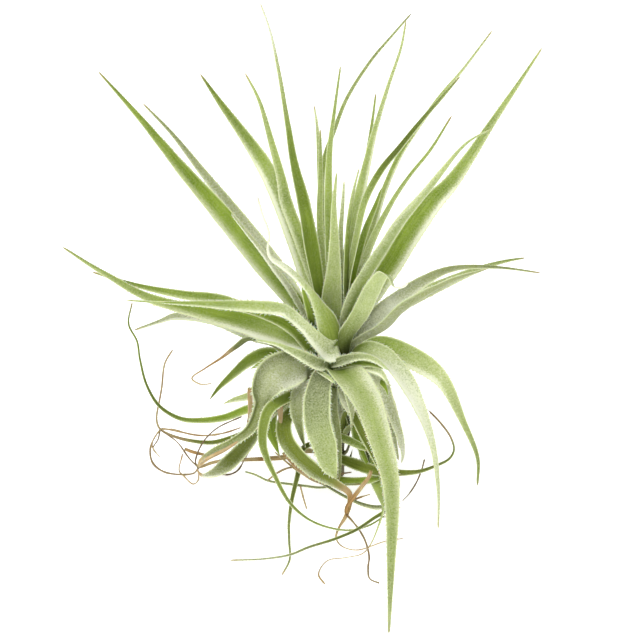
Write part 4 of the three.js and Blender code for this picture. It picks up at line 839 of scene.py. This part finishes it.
def blade_values(blade, leaf, share, outward):
    """What the material reads at the corners of a blade's upper face."""
    away = np.abs(share)
    along = np.broadcast_to(blade.shares[:, None], outward.shape[:2])
    # The halves differ from the midrib on, and no more towards the tip
    part = smooth_step(away, 0.05, 0.85) * (1 - smooth_step(blade.shares, 0.55, 0.85))[:, None]
    downward = np.clip(-outward[..., 2], 0, 1) * smooth_step(away, 0.1, 1)
    # Painted sheen: a margin that points down gets more silver than its scales give
    scales_and_sheen = read_along(along, QUARTERS, leaf.silver) + PAINTED_MARGIN_SHEEN * downward
    widths = blade.widths[:, None]
    rim_widths = np.minimum(RIM_WIDTH, widths * RIM_SHARE)
    return {
        # painted sheen: one half of some blades gets more silver, as its form gives
        "silver": scales_and_sheen + np.where(share < 0, *leaf.form.silver) * part,
        "dark": read_along(along, QUARTERS, leaf.dark) + np.where(share < 0, *leaf.form.dark) * part,
        "dry": smooth_step(along, leaf.dry_from - DRY_BLEND, leaf.dry_from + DRY_BLEND),
        "rim": smooth_step((1 - away) * widths / 2 / rim_widths, 1, 0.2),
    }


def around(upper, lower):
    """Goes over a blade's upper face from left to right, and back over its lower face."""
    return np.concatenate([upper, lower[:, ::-1]], axis=1)


def add_blade(skin, blade, leaf, generator):
    """Adds a closed blade, bent at its midrib, with thin and slightly waved margins. Gives its edges."""
    share, sideways, upward, lean = section(blade, leaf, generator)
    sides = blade.sides[:, None, :]
    faces = blade.faces[:, None, :]
    cosine = np.cos(lean)[..., None]
    sine = np.sin(lean)[..., None]
    surface = blade.points[:, None, :] + sides * sideways[..., None] + faces * upward[..., None]
    normals = faces * cosine - sides * sine
    outward = (sides * cosine + faces * sine) * np.sign(share)[..., None]
    widths = blade.widths[:, None]
    middle = np.minimum(MIDRIB_THICKNESS, widths * MIDRIB_MOST)
    edge = np.minimum(EDGE_THICKNESS, widths * EDGE_MOST)
    half = normals * (edge + (middle - edge) * (1 - share**2))[..., None] / 2
    across = share * widths / 2
    length = np.broadcast_to(blade.lengths[:, None], across.shape)
    apart = np.full(across.shape, GRAIN_APART)
    grain = [np.stack([across, length, apart * face], axis=-1) for face in (1, -1)]
    upper = blade_values(blade, leaf, share, outward)
    lower = {**upper, "silver": upper["silver"] + UNDERSIDE_SILVER}
    values = {name: around(upper[name], lower[name]).ravel() for name in upper}
    values["silver"] = np.clip(values["silver"], 0, SILVER_MOST)
    skin.add(
        around(surface + half, surface - half).reshape(-1, 3),
        tube_faces(len(blade.points), 2 * (CELLS_ACROSS + 1)),
        around(*grain).reshape(-1, 3),
        **values,
    )
    return [(surface[:, place], outward[:, place], normals[:, place]) for place in (0, -1)]


def add_fringe(skin, blade, edges, fringe, generator):
    """Adds the silvery scales that stand along both margins, each a thin three-sided spike."""
    length = blade.lengths[-1]
    count = int(length * (FRINGE_UNTIL - FRINGE_FROM) / FRINGE_STEP)
    for margin, outward, normals in edges:
        place = np.linspace(FRINGE_FROM, FRINGE_UNTIL, count) * length
        place = place + generator.uniform(-0.5, 0.5, count) * FRINGE_STEP
        ring = np.interp(place, blade.lengths, np.arange(len(blade.lengths)))
        low = np.minimum(ring.astype(int), len(blade.points) - 2)
        part = (ring - low)[:, None]

        def between(rows):
            return rows[low] * (1 - part) + rows[low + 1] * part

        faces = unit(between(normals))
        edge = between(margin)
        lean = generator.uniform(*FRINGE_LEAN, count)[:, None]
        tilt = generator.uniform(*FRINGE_TILT, count)[:, None]
        aim = unit(between(outward) + unit(between(blade.tangents)) * lean + faces * tilt)
        reach = FRINGE_LENGTH * fringe * generator.uniform(*FRINGE_REACH, count)
        widths = np.interp(place, blade.lengths, blade.widths)
        reach = reach * np.clip(widths / FRINGE_FULL_FROM, FRINGE_SHORTEST, 1)
        root = edge - aim * FRINGE_THICKNESS
        tip = edge + aim * reach[:, None]
        first = unit(np.cross(aim, faces)) * FRINGE_WIDTH
        second = unit(np.cross(aim, first)) * FRINGE_THICKNESS
        back = root - first / 2
        corners = np.stack([root + first, back + second, back - second, tip], axis=1)
        spikes = range(0, 4 * count, 4)
        spike_faces = [[spike + corner for corner in face] for spike in spikes for face in SPIKE_FACES]
        skin.add(corners.reshape(-1, 3), spike_faces, np.zeros((4 * count, 3)))


def add_fibre(skin, route, generator):
    """Adds a thin dry fibre, a little uneven along its length."""
    darkness = generator.uniform(*FIBRE_DARKNESS)
    route_points = [placed(row) for row in route]
    shares, lengths = even_shares(route_points, RING_STEP * FIBRE_FINENESS)
    points, tangents, faces = frames(route_points, shares)
    sides = np.cross(tangents, faces)
    rings = len(points)
    radius = FIBRE_THICKNESS / 2 * (1 + FIBRE_UNEVENNESS * wandering(generator, rings, FIBRE_WAVE_RINGS))
    radius = (radius * (1 - (1 - FIBRE_TAPER) * smooth_step(shares, 0.5, 1)))[:, None]
    angle = np.arange(FIBRE_SIDES) / FIBRE_SIDES * math.tau
    corners = (
        points[:, None, :]
        + sides[:, None, :] * (radius * np.cos(angle))[..., None]
        + faces[:, None, :] * (radius * np.sin(angle) * FIBRE_FLATNESS)[..., None]
    )
    grain = np.zeros_like(corners)
    grain[..., 1] = lengths[:, None]
    faces = tube_faces(rings, FIBRE_SIDES)
    skin.add(corners.reshape(-1, 3), faces, grain.reshape(-1, 3), dry=1.0, dark=darkness)


def plug(tree, node, **inputs):
    """Gives a shader node its inputs: numbers, colours or other nodes' outputs."""
    for key, value in inputs.items():
        fill(tree, node.inputs[key.replace("_", " ")], value)


def fill(tree, socket, value):
    if isinstance(value, bpy.types.NodeSocket):
        tree.links.new(value, socket)
    else:
        socket.default_value = value


def add(tree, kind, **inputs):
    """Adds a shader node and gives its first output."""
    made = tree.nodes.new(kind)
    plug(tree, made, **inputs)
    return made.outputs[0]


def noise(tree, vector, scale, detail=2.0, roughness=0.5):
    return add(tree, "ShaderNodeTexNoise", Vector=vector, Scale=scale, Detail=detail, Roughness=roughness)


def calculate(tree, operation, *values, clamp=False):
    made = tree.nodes.new("ShaderNodeMath")
    made.operation = operation
    made.use_clamp = clamp
    for socket, value in zip(made.inputs, values):
        fill(tree, socket, value)
    return made.outputs[0]


def contrast(tree, value, middle, gain, base, clamp=True):
    """The base, plus how far a value lies above a middle one times a gain."""
    above = calculate(tree, "SUBTRACT", value, middle)
    return calculate(tree, "MULTIPLY_ADD", above, gain, base, clamp=clamp)


def blend_colours(tree, factor, first, second):
    made = tree.nodes.new("ShaderNodeMix")
    made.data_type = "RGBA"
    for place, value in ((0, factor), (6, first), (7, second)):
        fill(tree, made.inputs[place], value)
    return made.outputs[2]


def attribute(tree, name, output="Fac"):
    made = tree.nodes.new("ShaderNodeAttribute")
    made.attribute_name = name
    return made.outputs[output]


def new_material(name):
    """A material, its node tree, its shader, and the output that says where a point of the object is."""
    material = bpy.data.materials.new(name)
    material.use_nodes = True
    tree = material.node_tree
    place = tree.nodes.new("ShaderNodeTexCoord").outputs["Object"]
    return material, tree, tree.nodes["Principled BSDF"], place


def green_colours(tree, streak, patch, deep, light):
    """Living green, deeper and lighter in streaks and patches, and darkened towards olive and black:
    painted shade at the roots and in crevices, darker olive further out along some leaves.
    """
    tone = calculate(tree, "MULTIPLY_ADD", streak, 0.6, calculate(tree, "MULTIPLY", patch, 0.7))
    green = blend_colours(tree, contrast(tree, tone, 0.65, 2.4, 0.5), deep, light)
    dark = attribute(tree, "dark")
    green = blend_colours(tree, calculate(tree, "MULTIPLY", dark, 1.0, clamp=True), green, OLIVE)
    return blend_colours(tree, calculate(tree, "SUBTRACT", dark, 1.0, clamp=True), green, DEEP_SHADE)


def scaled_colours(tree, green, silver, speckle):
    """Green under silvery scales, which are speckles that close up to frost, with a pale rim. The silver
    also carries painted sheen on margins that point down and on one half of some blades.
    """
    silvered = attribute(tree, "silver")
    strength = calculate(tree, "MULTIPLY_ADD", silvered, SPECKLE, 0.8)
    scales_and_sheen = calculate(tree, "MULTIPLY_ADD", speckle, strength, silvered, clamp=True)
    skin = blend_colours(tree, scales_and_sheen, green, silver)
    skin = blend_colours(tree, contrast(tree, silvered, 0.7, 2.0, speckle), skin, FROST)
    return blend_colours(tree, calculate(tree, "MULTIPLY", attribute(tree, "rim"), RIM_STRENGTH), skin, RIM)


def dry_colours(tree, place, streak):
    """Dead tissue: straw, orange brown and dark brown in patches, streaked lengthwise."""
    patch = noise(tree, place, DRY_PATCH_GRAIN, 3.0, 0.6)
    colour = blend_colours(tree, contrast(tree, patch, 0.5, 3.0, 0.45), STRAW, RUST)
    dark = calculate(tree, "MULTIPLY", contrast(tree, streak, 0.5, 2.5, 0.3), 0.7)
    dark = calculate(tree, "MAXIMUM", dark, attribute(tree, "dark"))
    return blend_colours(tree, calculate(tree, "MULTIPLY", dark, 0.85, clamp=True), colour, BARK)


def leaf_material(name, deep, light, silver):
    """A leaf's skin: streaked green, silvery scales, a pale rim and a dry end."""
    material, tree, shader, place = new_material(name)
    grain = attribute(tree, "grain", "Vector")
    streak = noise(tree, add(tree, "ShaderNodeMapping", Vector=grain, Scale=ALONG_LEAF), STREAK_GRAIN)
    speckle = calculate(tree, "SUBTRACT", noise(tree, place, SPECKLE_GRAIN, 3.0, 0.75), 0.5)
    patch = noise(tree, place, PATCH_GRAIN)
    skin = scaled_colours(tree, green_colours(tree, streak, patch, deep, light), silver, speckle)
    dryness = attribute(tree, "dry")
    brown = contrast(tree, patch, 0.5, 0.8, dryness, clamp=False)
    brown = calculate(tree, "MULTIPLY", brown, calculate(tree, "MULTIPLY", dryness, 1.3), clamp=True)
    height = calculate(tree, "MULTIPLY_ADD", streak, 0.5, speckle)
    plug(
        tree,
        shader,
        Base_Color=blend_colours(tree, brown, skin, dry_colours(tree, place, streak)),
        Roughness=calculate(tree, "MULTIPLY_ADD", speckle, 0.4, 0.55),
        Normal=add(tree, "ShaderNodeBump", Strength=0.5, Distance=0.0002, Height=height),
        Sheen_Weight=0.06,
        Sheen_Roughness=0.4,
        Sheen_Tint=SHEEN_TINT,
        Subsurface_Weight=0.25,
        Subsurface_Radius=(0.8, 0.8, 0.2),
        Subsurface_Scale=0.0006,
        Specular_IOR_Level=0.12,
    )
    return material


def scale_material():
    """The silvery scales of the fringe."""
    material, tree, shader, place = new_material("silver_scale")
    colour = blend_colours(tree, noise(tree, place, SCALE_GRAIN), SCALE_SHADE, FROST)
    plug(tree, shader, Base_Color=colour, Roughness=0.5, Subsurface_Weight=0.3, Subsurface_Scale=0.0005)
    return material


def stem_material():
    """Dead bark-like tissue, streaked lengthwise, in dark olive browns that are partly painted shade of the
    gaps between leaves.
    """
    material, tree, shader, place = new_material("stem_bark_and_shade")
    lengthwise = add(tree, "ShaderNodeMapping", Vector=place, Scale=ALONG_STEM)
    streak = noise(tree, lengthwise, STEM_STREAK_GRAIN, 4.0, 0.6)
    pale, deep, patched = STEM_COLOURS
    colour = blend_colours(tree, streak, pale, deep)
    patch = calculate(tree, "MULTIPLY", noise(tree, place, STEM_PATCH_GRAIN), 0.5)
    bump = add(tree, "ShaderNodeBump", Strength=0.7, Distance=0.0004, Height=streak)
    plug(tree, shader, Base_Color=blend_colours(tree, patch, colour, patched), Normal=bump, Roughness=0.85)
    return material


def floor_material():
    material, tree, shader, place = new_material("pale_floor")
    colour = blend_colours(tree, noise(tree, place, FLOOR_GRAIN), *FLOOR_COLOURS)
    plug(tree, shader, Base_Color=colour, Roughness=0.9, Specular_IOR_Level=0.1)
    plug(tree, shader, Emission_Color=WHITE, Emission_Strength=FLOOR_GLOW)
    return material


def make_materials():
    materials = {name: leaf_material(name, *colours) for name, colours in LEAF_COLOURS.items()}
    return {**materials, "stem_dry": stem_material(), "scale": scale_material()}


def make_leaf(leaf, order, materials, generator, fringe):
    points, widths = leaf_route(leaf, order)
    blade = fine_blade(points, widths, leaf.form, leaf_roll(points))
    skin = Skin()
    edges = add_blade(skin, blade, leaf, generator)
    for fibre in leaf.fibres:
        add_fibre(skin, fibre, generator)
    skin.build(leaf.name + "_blade", materials[leaf.slot], leaf.slot, leaf.name)
    add_fringe(fringe, blade, edges, leaf.fringe, generator)


def make_straps(materials, generator):
    """The narrow leftovers among the old leaves, the folds at the heart, and dark sheets of painted shade
    in gaps between leaves.
    """
    skins = {}
    fringe = Skin()
    for look, rows in STRAPS:
        *finish, slot = STRAP_LOOKS[look]
        blade = fine_blade(*placed_route(rows), FLAT)
        strap = Leaf(look, *finish, rows, slot, FLAT)
        edges = add_blade(skins.setdefault(slot, Skin()), blade, strap, generator)
        add_fringe(fringe, blade, edges, strap.fringe, generator)
    for slot, skin in skins.items():
        skin.build("straps_" + slot, materials[slot], slot)
    fringe.build("fringe_straps", materials["scale"], PALE)


def make_fibres(materials, generator):
    fibres = Skin()
    for route in FIBRES:
        add_fibre(fibres, route, generator)
    fibres.build("loose_fibres", materials[DRY], DRY)


def lehmer(seed):
    """The same repeatable random numbers from 0 to 1 as the solids use."""
    state = seed
    while True:
        state = (state * 16807) % 2147483647
        yield state / 2147483647


def make_stem(materials, generator):
    skin = Skin()
    up = np.linspace(0, 1, STEM_RINGS)[:, None]
    angle = np.arange(STEM_CORNERS) / STEM_CORNERS * math.tau
    radius = np.array([[stem_radius(share * STEM_TOP)] for share in up.ravel()])
    knobs = 1 + KNOB_DEPTH * np.sin(up * KNOBS_ALONG) * np.sin(KNOBS_AROUND * angle + up * KNOBS_TWIST)
    radius = radius * np.minimum(knobs, 1) * STEM_INSET
    height = np.broadcast_to(up * STEM_TOP, radius.shape)
    body = np.stack([radius * np.cos(angle), radius * np.sin(angle), height], axis=-1).reshape(-1, 3)
    skin.add(body, tube_faces(STEM_RINGS, STEM_CORNERS), np.zeros_like(body))
    draw = lehmer(STUB_SEED)
    for count in range(STUB_COUNT):
        aim = count * STUB_TURN + STUB_TURN_MORE * next(draw)
        height = STUB_FIRST + count * STUB_STEP
        length = STUB_LENGTH * (STUB_SHORTEST + STUB_LONGER * next(draw))
        if height < STUB_FRONT_TOP or math.sin(aim) > STUB_BEHIND:
            add_stub(skin, aim, height, length, generator)
    skin.build("stem_bark_and_shade", materials["stem_dry"], "stem_dry", "stem")


def add_stub(skin, aim, height, length, generator):
    """Adds what is left of a withered leaf."""
    radius = stem_radius(height)
    points = [beside_stem(aim, radius + STUB_SPREAD * out, height + length * up)
              for out, up, wide in STUB_ROUTE]
    widths = [STUB_WIDTH * wide for out, up, wide in STUB_ROUTE]
    *finish, slot = STRAP_LOOKS["dry_strap"]
    stub = Leaf("stub", *finish, STUB_ROUTE, slot)
    add_blade(skin, fine_blade(points, widths, stub.form), stub, generator)


def make_plant():
    generator = np.random.default_rng(LOOKS_SEED)
    materials = make_materials()
    make_stem(materials, generator)
    order = 0
    groups = {"young": YOUNG, "spreading": SPREADING, "old": OLD, "dried": DRIED}
    for group, leaves in groups.items():
        fringe = Skin()
        for leaf in leaves:
            make_leaf(leaf, order, materials, generator, fringe)
            order += 1
        fringe.build("fringe_" + group, materials["scale"], PALE)
    make_straps(materials, generator)
    make_fibres(materials, generator)


def make_floor():
    mesh = bpy.data.meshes.new("floor")
    reach = FLOOR_REACH
    corners = [(-reach, -reach, 0), (reach, -reach, 0), (reach, reach, 0), (-reach, reach, 0)]
    mesh.from_pydata(corners, [], [(0, 1, 2, 3)])
    mesh.materials.append(floor_material())
    floor = new_object("floor", mesh)


def make_camera():
    data = bpy.data.cameras.new("camera")
    data.sensor_width = SENSOR_WIDTH
    data.lens = SENSOR_WIDTH * SIGHT_DISTANCE / (PICTURE_SIDE * PIXEL_AT_HEART)
    camera = new_object("camera", data)
    middle_across = (PICTURE_SIDE / 2 - HEART_PIXEL[0]) * PIXEL_AT_HEART
    middle_rise = (HEART_PIXEL[1] - PICTURE_SIDE / 2) * PIXEL_AT_HEART
    aim = Vector(sheet_point(middle_across, middle_rise))
    camera.location = Vector(eye())
    camera.rotation_euler = (aim - camera.location).to_track_quat("-Z", "Y").to_euler()
    bpy.context.scene.camera = camera


def make_light():
    world = bpy.data.worlds.new("studio")
    world.use_nodes = True
    plug(world.node_tree, world.node_tree.nodes["Background"], Color=WHITE, Strength=WORLD_STRENGTH)
    bpy.context.scene.world = world
    data = bpy.data.lights.new("key", "SUN")
    data.angle = KEY_SOFTNESS
    data.energy = KEY_STRENGTH
    key = new_object("key", data)
    key.rotation_euler = Vector(KEY_DIRECTION).to_track_quat("Z", "Y").to_euler()
    bpy.context.scene.view_settings.view_transform = "Standard"


make_camera()
make_plant()
make_floor()
make_light()
